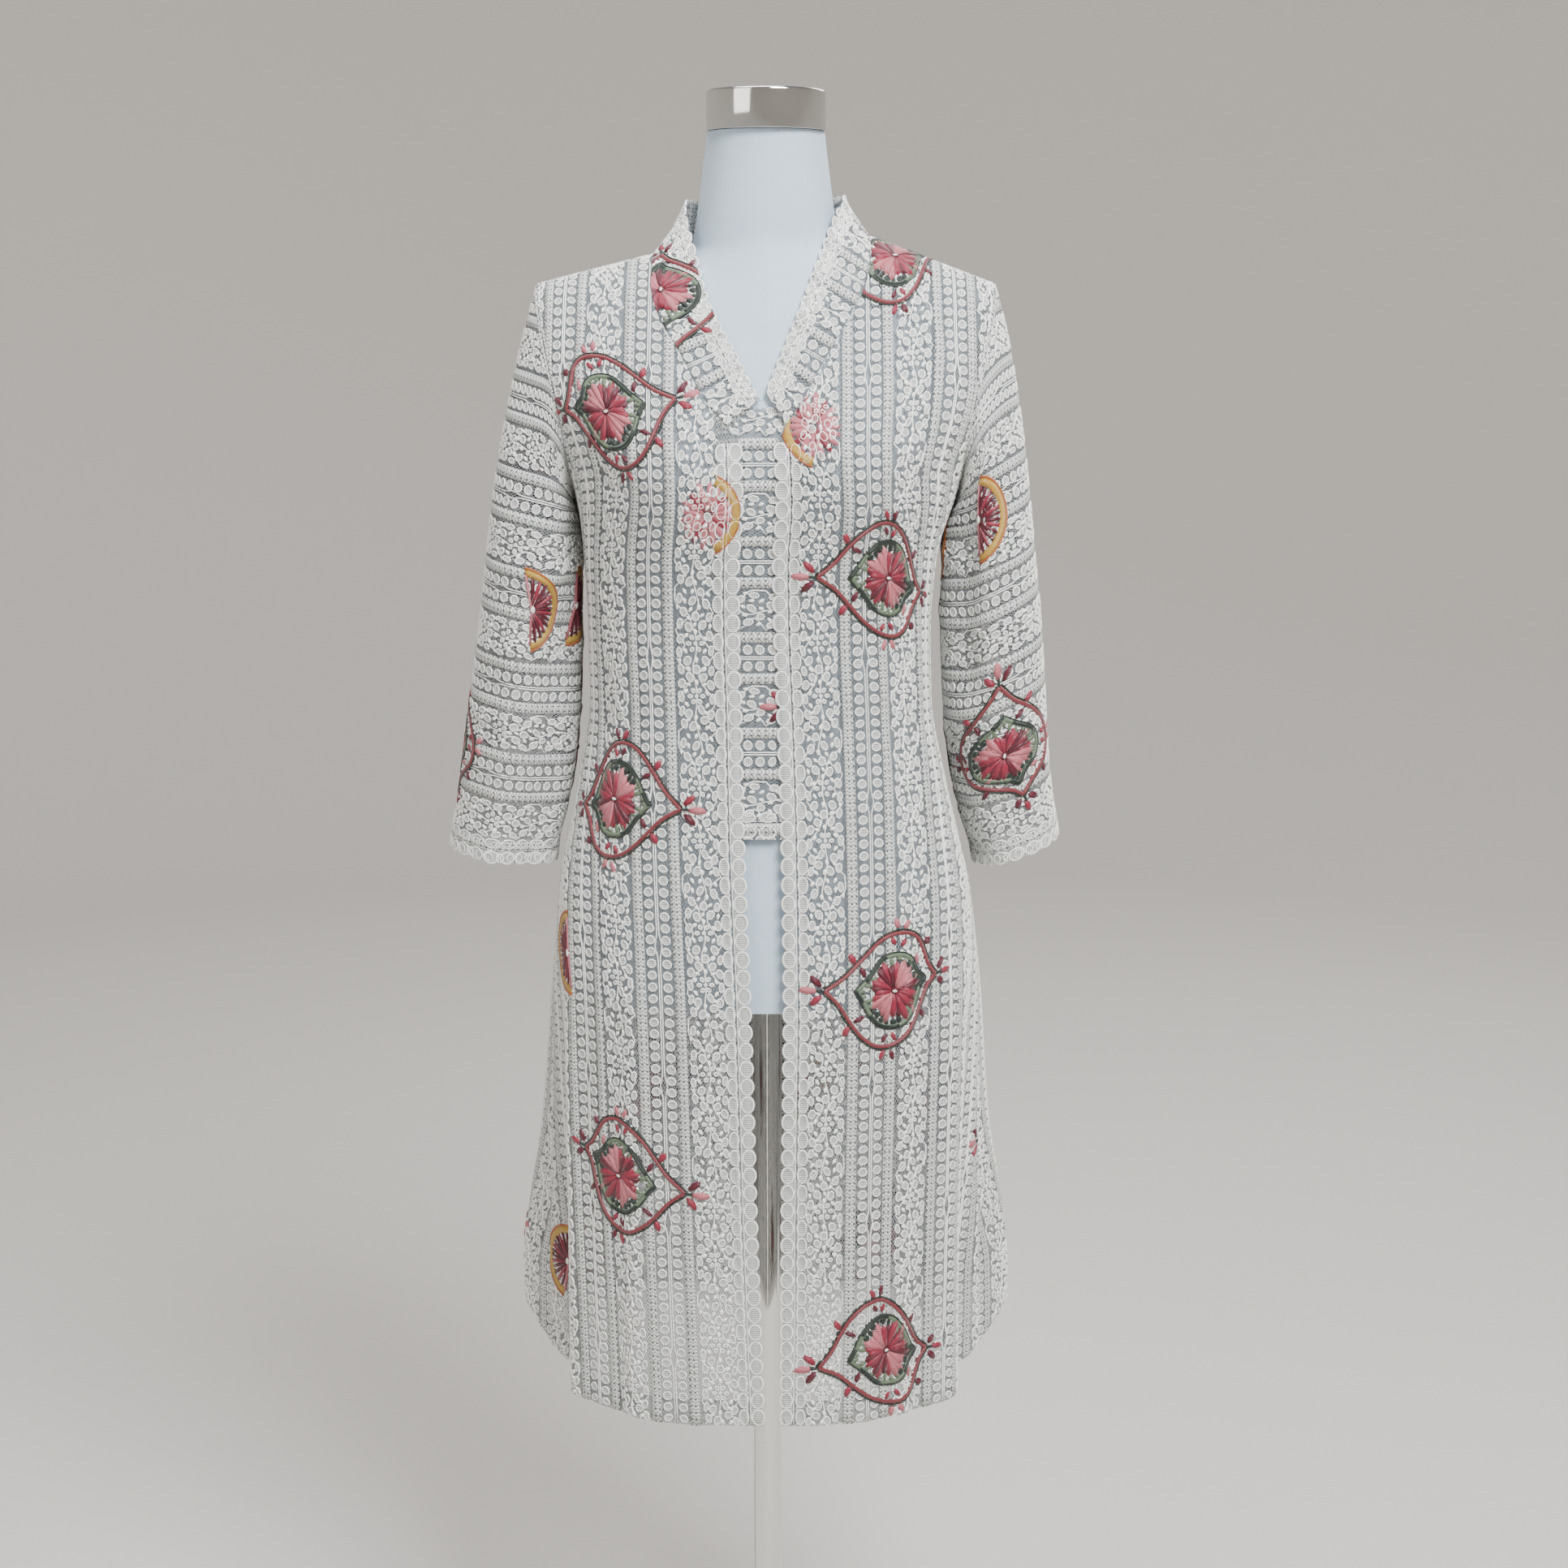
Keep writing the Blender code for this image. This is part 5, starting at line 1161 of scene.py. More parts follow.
def fan_motif(sunk=False):
    """Half of a pointed flower: crimson threads that fan out from its straight side to a yellow border. The sunk one is
    whole and lies under the lace's cords, and only a yellow crescent and some pale petals show between them."""
    work = new_work()
    if sunk:
        wide, tall, low, rays, thick, flosses = 26.5, 34.0, 0.0005, 18, 2.4, (PINK, PINK, PINK, ROSE)
        around = np.linspace(0.0, math.tau, 28, endpoint=False)
        turns = [360.0 * index / rays for index in range(rays)]
    else:
        wide, tall, low, rays, thick, flosses = 29.0, 35.0, 0.0014, 13, 1.5, (MAROON, ROSE, MAROON)
        around = np.linspace(0.0, math.pi, 19)
        turns = [mix(-80.0, 80.0, index / (rays - 1)) for index in range(rays)]
    across = np.sign(np.sin(around)) * np.abs(np.sin(around)) ** FAN_POINTED * wide
    line = np.stack((across, np.cos(around) * tall), axis=-1) * MM
    if sunk:
        line = line[FAN_CRESCENT]
        add_strip(work, line * FAN_INNER, band_profile(0.0080, 0.0006), YELLOW)
        add_strip(work, line, band_profile(0.0020, 0.0008), ORANGE)
    else:
        add_strip(work, line * FAN_INNER, band_profile(0.0066, low * 0.8), YELLOW)
        add_strip(work, line, band_profile(0.0026, low * 0.9), ORANGE)
        add_strip(work, np.array(FAN_SIDE), band_profile(0.0024, low), PINK)
    for index, turn in enumerate(turns):
        c, s = math.cos(math.radians(turn)), math.sin(math.radians(turn))
        reach = (0.84 + 0.05 * math.sin(3.7 * index)) / math.hypot(c / wide, s / tall)
        half = (reach - RAY_START) / 2.0
        middle = (c * (RAY_START + half) * MM, s * (RAY_START + half) * MM)
        floss = flosses[index % len(flosses)]
        add_petal(work, middle, (thick * MM, half * MM), turn - 90.0, floss, low * 1.2, taper=0.6)
    if not sunk:
        add_petal(work, (1.5 * MM, 0.0), (2.0 * MM, 3.4 * MM), 0.0, IVORY, low * 1.6)
    return Motif(work)


STEEP, SLIVER = 1e-5, 2e-9  # a wall rises more than this, and a trimmed face below this area is left out
MERGE = 2e-6


def laid(cloth, motif, spots, free=()):
    """A motif laid at each (u, v, turn, scale) spot of a cloth, trimmed at its borders."""
    points, flats, threads, groups, count = [], [], [], {}, 0
    for u, v, turn, scale in spots:
        c, s = math.cos(math.radians(turn)) * scale, math.sin(math.radians(turn)) * scale
        flat = motif.points.copy()
        flat[:, 0] = u + motif.points[:, 0] * c - motif.points[:, 1] * s
        flat[:, 1] = v + motif.points[:, 0] * s + motif.points[:, 1] * c
        trimmed, moved = cloth.trimmed(flat, free)
        if moved.all():
            continue
        keep_any = False
        for size, rows in motif.groups.items():
            faces = rows[:, :size]
            kept = ~moved[faces].all(axis=1)
            picked = trimmed[faces][:, :, :2]
            turned = np.roll(picked, -1, axis=1)
            area = np.abs((picked[..., 0] * turned[..., 1] - picked[..., 1] * turned[..., 0]).sum(axis=1)) / 2.0
            steep = np.ptp(trimmed[faces][:, :, 2], axis=1) > STEEP
            kept &= (area > SLIVER) | steep & ~moved[faces].any(axis=1)
            if kept.any():
                keep_any = True
                chosen = rows[kept].copy()
                chosen[:, :size] += count
                groups.setdefault(size, []).append(chosen)
        if keep_any:
            points.append(cloth.place(trimmed))
            flats.append(trimmed)
            threads.append(motif.thread * scale)
            count += len(trimmed)
    return points, flats, threads, groups


class Heap:
    """Laid motifs that become one piece."""

    def __init__(self):
        self.points, self.flats, self.threads, self.faces, self.kinds = [], [], [], [], []
        self.count = 0

    def add(self, cloth, result):
        points, flats, threads, groups = result
        for size, blocks in groups.items():
            rows = np.concatenate(blocks)
            faces = rows[:, :size] + self.count
            if cloth.flipped:
                faces = faces[:, ::-1]
            self.faces.extend(faces.tolist())
            self.kinds.append(rows[:, -1])
        self.points.extend(points)
        self.flats.extend(flats)
        self.threads.extend(threads)
        self.count += sum(len(block) for block in points)

    def piece(self, name, materials):
        mesh = bpy.data.meshes.new(name)
        mesh.from_pydata(np.concatenate(self.points).tolist(), [], self.faces)
        mesh.polygons.foreach_set("material_index", np.concatenate(self.kinds).astype(np.int32))
        for layer, blocks in (("flat", self.flats), ("thread", self.threads)):
            if blocks:
                attribute = mesh.attributes.new(layer, "FLOAT_VECTOR", "POINT")
                attribute.data.foreach_set("vector", np.concatenate(blocks).astype(np.float32).ravel())
        work = bmesh.new()
        work.from_mesh(mesh)
        bmesh.ops.delete(work, geom=[vert for vert in work.verts if not vert.link_faces], context="VERTS")
        bmesh.ops.remove_doubles(work, verts=work.verts, dist=MERGE)
        bmesh.ops.holes_fill(work, edges=[edge for edge in work.edges if edge.is_boundary], sides=8)
        work.to_mesh(mesh)
        work.free()
        return add_piece(name, mesh, materials)


def add_piece(name, mesh, materials):
    for material in materials:
        mesh.materials.append(material)
    mesh.shade_smooth()
    obj = bpy.data.objects.new(name, mesh)
    bpy.context.scene.collection.objects.link(obj)
    return obj


def net_shell(cloth, material):
    """The cloth's net ground: a thin shell over the whole cut, on its solid's outer face."""
    u_range, v_range = cloth.ranges()
    u_size, v_size = np.ptp(u_range), np.ptp(v_range)
    across, along = int(u_size / SHELL_STEP) + 3, int(v_size / SHELL_STEP) + 3
    work = bmesh.new()
    bmesh.ops.create_grid(work, x_segments=across, y_segments=along, size=1.0)
    stretch = Matrix.Diagonal((across * SHELL_STEP / 2.0, along * SHELL_STEP / 2.0, 1.0, 1.0))
    centre = Matrix.Translation((sum(u_range) / 2.0, sum(v_range) / 2.0, 0.0))
    bmesh.ops.transform(work, matrix=centre @ stretch, verts=work.verts)
    heap = Heap()
    heap.add(cloth, laid(cloth, Motif(work), WHOLE))
    obj = heap.piece(cloth.name + "_net", [material])
    solid = obj.modifiers.new("Net thickness", "SOLIDIFY")
    solid.thickness = NET_THICK
    solid.offset = -1.0
    return obj


# ---- Materials ----

def colour(hexed):
    """An sRGB hex colour as linear values."""
    parts = [int(hexed[index:index + 2], 16) / 255.0 for index in (0, 2, 4)]
    return tuple(part / 12.92 if part <= 0.04045 else ((part + 0.055) / 1.055) ** 2.4 for part in parts) + (1.0,)


def add_node(material, kind, settings=None, inputs=None):
    """A node with its settings, and its inputs as values or as another node's output."""
    tree = material.node_tree
    node = tree.nodes.new(kind)
    for key, value in (settings or {}).items():
        setattr(node, key, value)
    for key, value in (inputs or {}).items():
        if isinstance(value, bpy.types.NodeSocket):
            tree.links.new(value, node.inputs[key])
        else:
            node.inputs[key].default_value = value
    return node


def new_material(name, base, roughness, **values):
    """A material with these values set on its surface shader."""
    material = bpy.data.materials.new(name)
    material.use_nodes = True
    surface = material.node_tree.nodes["Principled BSDF"]
    surface.inputs["Base Color"].default_value = colour(base)
    surface.inputs["Roughness"].default_value = roughness
    for key, value in values.items():
        surface.inputs[key.replace("_", " ")].default_value = value
    return material


def set_surface(material, **sources):
    """Links other nodes' outputs to inputs of the surface shader."""
    surface = material.node_tree.nodes["Principled BSDF"]
    for key, source in sources.items():
        material.node_tree.links.new(source, surface.inputs[key.replace("_", " ")])
    return material


def flat_place(material):
    """Where a point lies on its flat cloth: u and v, in metres."""
    flat = add_node(material, "ShaderNodeAttribute", {"attribute_name": "flat"})
    parts = add_node(material, "ShaderNodeSeparateXYZ", None, {0: flat.outputs["Vector"]})
    return parts.outputs[0], parts.outputs[1]


def wave(material, value, pitch):
    """0 to 1 and back, once each pitch, along a value in metres."""
    scaled = add_node(material, "ShaderNodeMath", {"operation": "MULTIPLY"}, {0: value, 1: 1.0 / pitch})
    folded = add_node(material, "ShaderNodeMath", {"operation": "PINGPONG"}, {0: scaled.outputs[0], 1: 0.5})
    return add_node(material, "ShaderNodeMath", {"operation": "MULTIPLY"}, {0: folded.outputs[0], 1: 2.0}).outputs[0]


NET_LEAN, NET_THREAD = 0.55, 0.23   # how the net's threads slant, and their share of a mesh


def net_material(pitch, base):
    """The ground of corded lace is a cotton bobbin net with diamond meshes of about 1.3 mm. It is drawn at 2.4 mm,
    because finer meshes than that don't show from a step away."""
    # The net's colour is a grey: painted shade on its white cotton threads, for the shade that shows between them
    material = new_material("cotton_net", base, 0.88, Sheen_Weight=0.15, Sheen_Roughness=0.5)
    u, v = flat_place(material)
    lean = add_node(material, "ShaderNodeMath", {"operation": "MULTIPLY"}, {0: v, 1: NET_LEAN}).outputs[0]
    threads = []
    for operation in ("ADD", "SUBTRACT"):
        slanted = add_node(material, "ShaderNodeMath", {"operation": operation}, {0: u, 1: lean}).outputs[0]
        away = wave(material, slanted, pitch)
        thread = add_node(material, "ShaderNodeMath", {"operation": "LESS_THAN"}, {0: away, 1: NET_THREAD})
        threads.append(thread.outputs[0])
    either = add_node(material, "ShaderNodeMath", {"operation": "MAXIMUM"}, {0: threads[0], 1: threads[1]})
    return set_surface(material, Alpha=either.outputs[0])


def cord_material(base):
    """A twisted cotton gimp cord, 0.8 mm thick, matt with a little sheen; its twist shows as fine bumps, 0.7 mm
    apart."""
    material = new_material("cotton_cord", base, 0.78, Sheen_Weight=0.3, Sheen_Roughness=0.45)
    flat = add_node(material, "ShaderNodeAttribute", {"attribute_name": "flat"})
    noise = add_node(material, "ShaderNodeTexNoise", None,
                     {"Vector": flat.outputs["Vector"], "Scale": 1400.0, "Detail": 1.0})
    bump = add_node(material, "ShaderNodeBump", None,
                    {"Strength": 0.25, "Distance": 0.0003, "Height": noise.outputs["Fac"]})
    return set_surface(material, Normal=bump.outputs[0])


FILL_ROWS = 0.0018


def fill_material():
    """Fillings are level rows of fine cotton, 0.9 mm apart, drawn 1.8 mm apart so that they show. Their colour is
    painted shade: greyer than the cords, and dark in the grooves between the rows, where net shows."""
    material = new_material("cotton_filling", "D2D3CE", 0.88, Sheen_Weight=0.25, Sheen_Roughness=0.5)
    rows = wave(material, flat_place(material)[1], FILL_ROWS)
    # painted shade: dark grey between the rows, pale grey on them
    shade = add_node(material, "ShaderNodeMix", {"data_type": "RGBA"},
                     {0: rows, 6: colour("868A89"), 7: colour("D2D4D0")})
    bump = add_node(material, "ShaderNodeBump", None, {"Strength": 0.5, "Distance": 0.0004, "Height": rows})
    return set_surface(material, Base_Color=shade.outputs[2], Normal=bump.outputs[0])


ZIGZAG_WIDE, ZIGZAG_TALL, TAPE_ROWS = 0.0045, 0.0020, 0.0032
TAPE_HOLES_U, TAPE_HOLES_V, TAPE_HOLE = 0.0040, 0.0060, 0.50


def tape_material():
    """The lace's tapes are close rows of a zigzag, 1.6 mm apart and drawn at 3.2 mm, with painted shade between the
    rows. A small hole between the threads about every 6 mm is painted dark, as painted shade seen through it."""
    material = new_material("cotton_tape", "DADBD6", 0.88, Sheen_Weight=0.25, Sheen_Roughness=0.5)
    u, v = flat_place(material)
    zigzag = wave(material, u, ZIGZAG_WIDE)
    bent = add_node(material, "ShaderNodeMath", {"operation": "MULTIPLY_ADD"}, {0: zigzag, 1: ZIGZAG_TALL, 2: v})
    rows = wave(material, bent.outputs[0], TAPE_ROWS)
    # painted shade: dark grey between the zigzag rows
    shade = add_node(material, "ShaderNodeMix", {"data_type": "RGBA"},
                     {0: rows, 6: colour("7C807F"), 7: colour("EEEFEB")})
    away = {0: wave(material, u, TAPE_HOLES_U), 1: wave(material, v, TAPE_HOLES_V)}
    both = add_node(material, "ShaderNodeMath", {"operation": "ADD"}, away)
    hole = add_node(material, "ShaderNodeMath", {"operation": "LESS_THAN"}, {0: both.outputs[0], 1: TAPE_HOLE})
    # each hole is painted dark grey: painted shade seen through it, not a cut
    holes_painted_dark = add_node(material, "ShaderNodeMix", {"data_type": "RGBA"},
                       {0: hole.outputs[0], 6: shade.outputs[2], 7: colour("55595B")})
    bump = add_node(material, "ShaderNodeBump", None, {"Strength": 0.6, "Distance": 0.0006, "Height": rows})
    return set_surface(material, Base_Color=holes_painted_dark.outputs[2], Normal=bump.outputs[0])


FLOSS_PITCH = 0.0009


def floss_material(name, base, light):
    """Rayon embroidery floss laid side by side, 0.4 mm a thread and drawn at 0.9 mm: a satin face with a painted
    highlight, a lighter colour on each thread's crown."""
    material = new_material(name, base, 0.42, Sheen_Weight=0.2, Sheen_Roughness=0.35)
    thread = add_node(material, "ShaderNodeAttribute", {"attribute_name": "thread"})
    parts = add_node(material, "ShaderNodeSeparateXYZ", None, {0: thread.outputs["Vector"]})
    rows = wave(material, parts.outputs[0], FLOSS_PITCH)
    flat = add_node(material, "ShaderNodeAttribute", {"attribute_name": "flat"})
    noise = add_node(material, "ShaderNodeTexNoise", None,
                     {"Vector": flat.outputs["Vector"], "Scale": 420.0, "Detail": 2.0})
    # painted highlight: the lighter colour on each thread's crown, broken up by noise
    painted_crown_highlight = add_node(material, "ShaderNodeMath", {"operation": "MULTIPLY"}, {0: rows, 1: noise.outputs["Fac"]})
    shade = add_node(material, "ShaderNodeMix", {"data_type": "RGBA"},
                     {0: painted_crown_highlight.outputs[0], 6: colour(base), 7: colour(light)})
    bump = add_node(material, "ShaderNodeBump", None, {"Strength": 0.5, "Distance": 0.0004, "Height": rows})
    return set_surface(material, Base_Color=shade.outputs[2], Normal=bump.outputs[0])


RIB_PITCH = 0.0014


def jersey_material(base):
    """A polyester knitted jersey stretched over foam, with fine ribs 1 mm apart, drawn at 1.4 mm."""
    material = new_material("knitted_jersey", base, 0.72, Sheen_Weight=0.35, Sheen_Roughness=0.4)
    place = add_node(material, "ShaderNodeTexCoord").outputs["Object"]
    parts = add_node(material, "ShaderNodeSeparateXYZ", None, {0: place})
    ribs = wave(material, parts.outputs[0], RIB_PITCH)
    noise = add_node(material, "ShaderNodeTexNoise", None, {"Vector": place, "Scale": 260.0, "Detail": 3.0})
    both = add_node(material, "ShaderNodeMath", {"operation": "MULTIPLY_ADD"},
                    {0: noise.outputs["Fac"], 1: 0.8, 2: ribs})
    bump = add_node(material, "ShaderNodeBump", None, {"Strength": 0.22, "Distance": 0.0004, "Height": both.outputs[0]})
    shade = add_node(material, "ShaderNodeMix", {"data_type": "RGBA"},
                     {0: noise.outputs["Fac"], 6: colour(base), 7: colour("BFD0DF")})
    return set_surface(material, Base_Color=shade.outputs[2], Normal=bump.outputs[0])


def chrome_material():
    """Polished chrome plate on spun steel: a clear mirror with very fine rubbing marks."""
    material = new_material("chrome_plate", "D9D8D6", 0.07, Metallic=1.0)
    place = add_node(material, "ShaderNodeTexCoord").outputs["Object"]
    noise = add_node(material, "ShaderNodeTexNoise", None, {"Vector": place, "Scale": 90.0, "Detail": 4.0})
    rough = add_node(material, "ShaderNodeMapRange", None,
                     {"Value": noise.outputs["Fac"], "To Min": 0.04, "To Max": 0.14})
    return set_surface(material, Roughness=rough.outputs[0])


# ---- Operators, one for each group of pieces ----

class KebayaSettings(bpy.types.PropertyGroup):
    """What a user would change"""
    net_pitch: FloatProperty(name="Net mesh", description="Size of the net's diamond meshes", default=0.0024,
                             unit="LENGTH")
    # The net is white cotton; its default colour is a painted grey, painted shade on its threads
    net_colour: StringProperty(name="Net colour", description="sRGB hex colour of the net", default="84888B")
    cord_colour: StringProperty(name="Cord colour", description="sRGB hex colour of the cords", default="FAFAF6")
    jersey_colour: StringProperty(name="Jersey colour", description="sRGB hex colour of the form", default="B0C4D6")
    floor_colour: StringProperty(name="Floor colour", description="sRGB hex colour of the floor", default="D2CEC8")
    camera_height: FloatProperty(name="Camera height", description="Height of the camera", default=1.367, unit="LENGTH")
    camera_pitch: FloatProperty(name="Camera pitch", description="How far the camera looks down",
                                default=math.radians(11.4), subtype="ANGLE", unit="ROTATION")
    light_power: FloatProperty(name="Light power", description="Power of the main light", default=175.0, unit="POWER")


CLOTHS = {}
MATERIALS = {}


class KEBAYA_OT_materials(bpy.types.Operator):
    """Makes the materials that the pieces share"""
    bl_idname = "kebaya.materials"
    bl_label = "Materials"

    def execute(self, context):
        settings = context.scene.kebaya
        MATERIALS.update(
            net=net_material(settings.net_pitch, settings.net_colour), cord=cord_material(settings.cord_colour),
            fill=fill_material(), tape=tape_material(), jersey=jersey_material(settings.jersey_colour),
            chrome=chrome_material(), floss=[floss_material(*row) for row in FLOSS],
        )
        return {"FINISHED"}


# Where the lace's repeat starts across each cloth, and how the cloth is held
CLOTH_FACTS = {
    "front_left": (0.017, "hung"), "front_right": (0.017, "hung"), "back": (0.0225, "hung"),
    "sleeve_left": (0.019, "hung"), "sleeve_right": (0.019, "hung"),
    "collar_left": (0.0, "stretched"), "collar_right": (0.0, "stretched"), "centre_panel": (0.012, "hung"),
}


def settle(obj, node=None):
    """Fixes a piece to the stand, and hides the CAD node that it stands for."""
    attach(obj, "root")
    if node:
        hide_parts(node)


def kind_of(cloth):
    """A cloth's kind: front, back, sleeve, collar or centre."""
    return cloth.name.split("_")[0]


def lace_spots(cloth):
    """Where each repeat of the lace starts on a cloth."""
    (u_first, u_last), (v_first, v_last) = cloth.ranges()
    start = CLOTH_FACTS[cloth.name][0]
    first, last = math.floor((u_first - start) / CELL_U), math.ceil((u_last - start) / CELL_U)
    low, high = math.floor(v_first / CELL_V), math.ceil(v_last / CELL_V)
    spots = [(start + i * CELL_U, j * CELL_V, 0.0, 1.0) for i in range(first, last) for j in range(low, high)]
    return [spot for spot in spots if spot[0] > 0.0 or kind_of(cloth) != "front"]


CUFF_INSET, COLLAR_INSET, COLLAR_START, COLLAR_SCALE = 0.001, 0.0006, 0.006, 0.75


def lobe_spots(cloth):
    """Where each scallop lies on a cloth's free edge, and the border that it may pass."""
    kind = kind_of(cloth)
    if kind == "front":
        count = round((NECK_START - HEM_HEIGHT) / SCALLOP_PITCH)
        return [(0.0, i * SCALLOP_PITCH, 0.0, 1.0) for i in range(count)], "u_low"
    if kind in ("sleeve", "centre"):
        low, high = cloth.border("v_low", 0.0), cloth.border("v_high", 0.0)
        count = round((high - low) / SCALLOP_PITCH)
        return [(CUFF_INSET, mix(low, high, i / count), 0.0, 1.0) for i in range(count)], "u_low"
    if kind == "collar":
        places = np.arange(COLLAR_START, cloth.border("u_high", 0.0), SCALLOP_PITCH * COLLAR_SCALE)
        return [(u, cloth.border("v_high", u) - COLLAR_INSET, -90.0, COLLAR_SCALE) for u in places], "v_high"
    return [], None


def seam_lines(cloth, last):
    """The seams that show inside a cloth's borders; the back has its own in its last piece."""
    if kind_of(cloth) in ("collar", "centre"):
        return []
    if cloth.name == "back":
        return [border_line(cloth, "v_high")] if last else []
    return [border_line(cloth, border) for border in ("u_high", "v_high")]


class KEBAYA_OT_cloths(bpy.types.Operator):
    """Makes each cut piece's net and the raised lace on it"""
    bl_idname = "kebaya.cloths"
    bl_label = "Lace cloths"

    def execute(self, context):
        for side in (LEFT, RIGHT):
            for build in (front_cloth, sleeve_cloth, collar_cloth):
                cloth = build(side)
                CLOTHS[cloth.name] = cloth
        for cloth in (back_cloth(), panel_cloth()):
            CLOTHS[cloth.name] = cloth
        cell, lobe = lace_cell(), lobe_cell()
        materials = [MATERIALS["cord"], MATERIALS["fill"], MATERIALS["tape"]]
        for name, cloth in CLOTHS.items():
            net = net_shell(cloth, MATERIALS["net"])
            spots = lace_spots(cloth)
            groups = {"": spots}
            if name == "back":
                groups = {"_left": [spot for spot in spots if spot[0] < 0.0],
                          "_right": [spot for spot in spots if spot[0] >= 0.0]}
            raised = []
            for suffix, group in groups.items():
                heap = Heap()
                heap.add(cloth, laid(cloth, cell, group))
                lobes, passed = lobe_spots(cloth)
                if lobes:
                    heap.add(cloth, laid(cloth, lobe, lobes, free=(passed,)))
                lines = seam_lines(cloth, suffix == "_right")
                if lines:
                    heap.add(cloth, laid(cloth, seam_motif(lines), WHOLE))
                raised.append(heap.piece(name + "_lace" + suffix, materials))
            if name == "back" or kind_of(cloth) == "front":
                raised.append(hem_turning(cloth, MATERIALS["cord"]))
            for obj in raised:
                settle(obj)
            settle(net, name)
            wide, tall, area = cloth.size()
        return {"FINISHED"}


# Where each vine lies, as (cloth, u, v, turn, mirror), in metres and degrees
VINE_SPOTS = (
    ("front_left", 0.112, 0.866, 78, 1), ("front_left", 0.112, 0.540, 94, -1), ("front_left", 0.120, 0.216, 97, 1),
    ("front_right", 0.096, 0.726, 88, -1), ("front_right", 0.094, 0.380, 86, 1), ("front_right", 0.092, 0.062, 98, -1),
    ("front_right", 0.098, 1.012, 96, 1), ("front_right", 0.316, 0.206, 88, 1), ("collar_left", 0.130, 0.008, 107, -1),
    ("sleeve_right", 0.092, 0.080, -86, 1), ("sleeve_left", 0.090, -0.006, -98, -1),
    ("sleeve_left", 0.330, -0.060, -84, 1), ("sleeve_left", 0.100, -0.160, -92, 1),
    ("sleeve_right", 0.300, -0.070, -94, -1), ("sleeve_right", 0.090, -0.120, -86, 1),
    ("back", -0.100, 0.880, 84, 1), ("back", 0.098, 0.735, -88, 1), ("back", -0.104, 0.545, 94, -1),
    ("back", 0.110, 0.390, -92, -1), ("back", -0.116, 0.215, 86, 1), ("back", 0.112, 0.066, -96, 1),
    ("back", 0.110, 0.975, -84, -1), ("back", 0.165, 0.228, 82, -1), ("back", -0.185, 0.100, 80, 1),
    ("centre_panel", 0.108, 0.078, 180, 1),
)
# Where each fan lies, and each one under the cords, as (cloth, u, v, turn)
FAN_SPOTS = (
    ("sleeve_right", 0.300, 0.098, -94), ("sleeve_right", 0.285, 0.180, -88), ("sleeve_left", 0.222, 0.090, 80),
    ("sleeve_left", 0.228, 0.146, 100), ("front_left", 0.173, 0.400, -6), ("front_left", 0.250, 0.100, 15),
    ("sleeve_left", 0.190, -0.080, -86), ("sleeve_right", 0.180, -0.050, -96),
    ("back", 0.030, 0.560, 6), ("back", -0.160, 0.390, -4), ("back", 0.030, 0.215, -8),
)
SUNK_SPOTS = (
    ("front_right", 0.030, 0.852, 6), ("front_left", 0.026, 0.780, -6), ("back", -0.010, 0.985, 0),
    ("back", 0.010, 0.800, 10),
)
SEAM_INSET, SEAM_WIDE, SEAM_HIGH, LINE_STEP = 0.0018, 0.0026, 0.0007, 0.008


def border_line(cloth, border):
    """A flat line just inside one border of a cloth, where that border is the nearest."""
    (u_first, u_last), (v_first, v_last) = cloth.ranges()
    if border == "u_high":
        v = np.arange(v_first, v_last, LINE_STEP)
        line = np.stack((cloth.border("u_high", v) - SEAM_INSET, v), axis=-1)
    else:
        u = np.arange(u_first, u_last, LINE_STEP)
        line = np.stack((u, cloth.border("v_high", u) - SEAM_INSET), axis=-1)
    _, moved = cloth.trimmed(np.column_stack((line, np.zeros(len(line)))))
    return line[~moved]


def seam_motif(lines):
    """A narrow overlocked seam that shows through the lace as a thicker line."""
    work = bmesh.new()
    for line in lines:
        if len(line) > 2:
            add_strip(work, line, band_profile(SEAM_WIDE, SEAM_HIGH), TAPE)
    return Motif(work)


HEM_ROWS, HEM_BACK, HEM_THICK = (0.0012, 0.008, 0.015, HEM_TURN), -0.0016, 0.0004


def hem_turning(cloth, material):
    """The hem's turned-up strip on the wrong side, which shows as a closer band."""
    u = np.arange(cloth.border("u_low", 0.0), cloth.border("u_high", HEM_TURN - 0.002), LINE_STEP)
    work = bmesh.new()
    grid = bmesh.ops.create_grid(work, x_segments=len(u) - 1, y_segments=len(HEM_ROWS) - 1, size=1.0)["verts"]
    for index, vert in enumerate(grid):
        row, column = divmod(index, len(u))
        vert.co = Vector((u[column], cloth.border("v_low", u[column]) + HEM_ROWS[row], HEM_BACK))
    heap = Heap()
    heap.add(cloth, laid(cloth, Motif(work), WHOLE))
    obj = heap.piece(cloth.name + "_hem", [material])
    solid = obj.modifiers.new("Hem thickness", "SOLIDIFY")
    solid.thickness = HEM_THICK
    solid.offset = -1.0
    return obj


class KEBAYA_OT_embroidery(bpy.types.Operator):
    """Makes the satin-stitched vines and fans on each cut piece"""
    bl_idname = "kebaya.embroidery"
    bl_label = "Embroidery"

    def execute(self, context):
        motifs = {"vine": vine_motif(), "mirrored": vine_motif(-1.0), "fan": fan_motif(), "sunk": fan_motif(True)}
        rows = [("mirrored" if row[4] < 0 else "vine",) + tuple(row[:4]) for row in VINE_SPOTS]
        rows += [("fan",) + tuple(row) for row in FAN_SPOTS] + [("sunk",) + tuple(row) for row in SUNK_SPOTS]
        for name, cloth in CLOTHS.items():
            heap = Heap()
            for kind, on, u, v, turn in rows:
                if on == name:
                    heap.add(cloth, laid(cloth, motifs[kind], [(u, v, turn, 1.0)]))
            if heap.count:
                settle(heap.piece(name + "_embroidery", MATERIALS["floss"]))
        return {"FINISHED"}


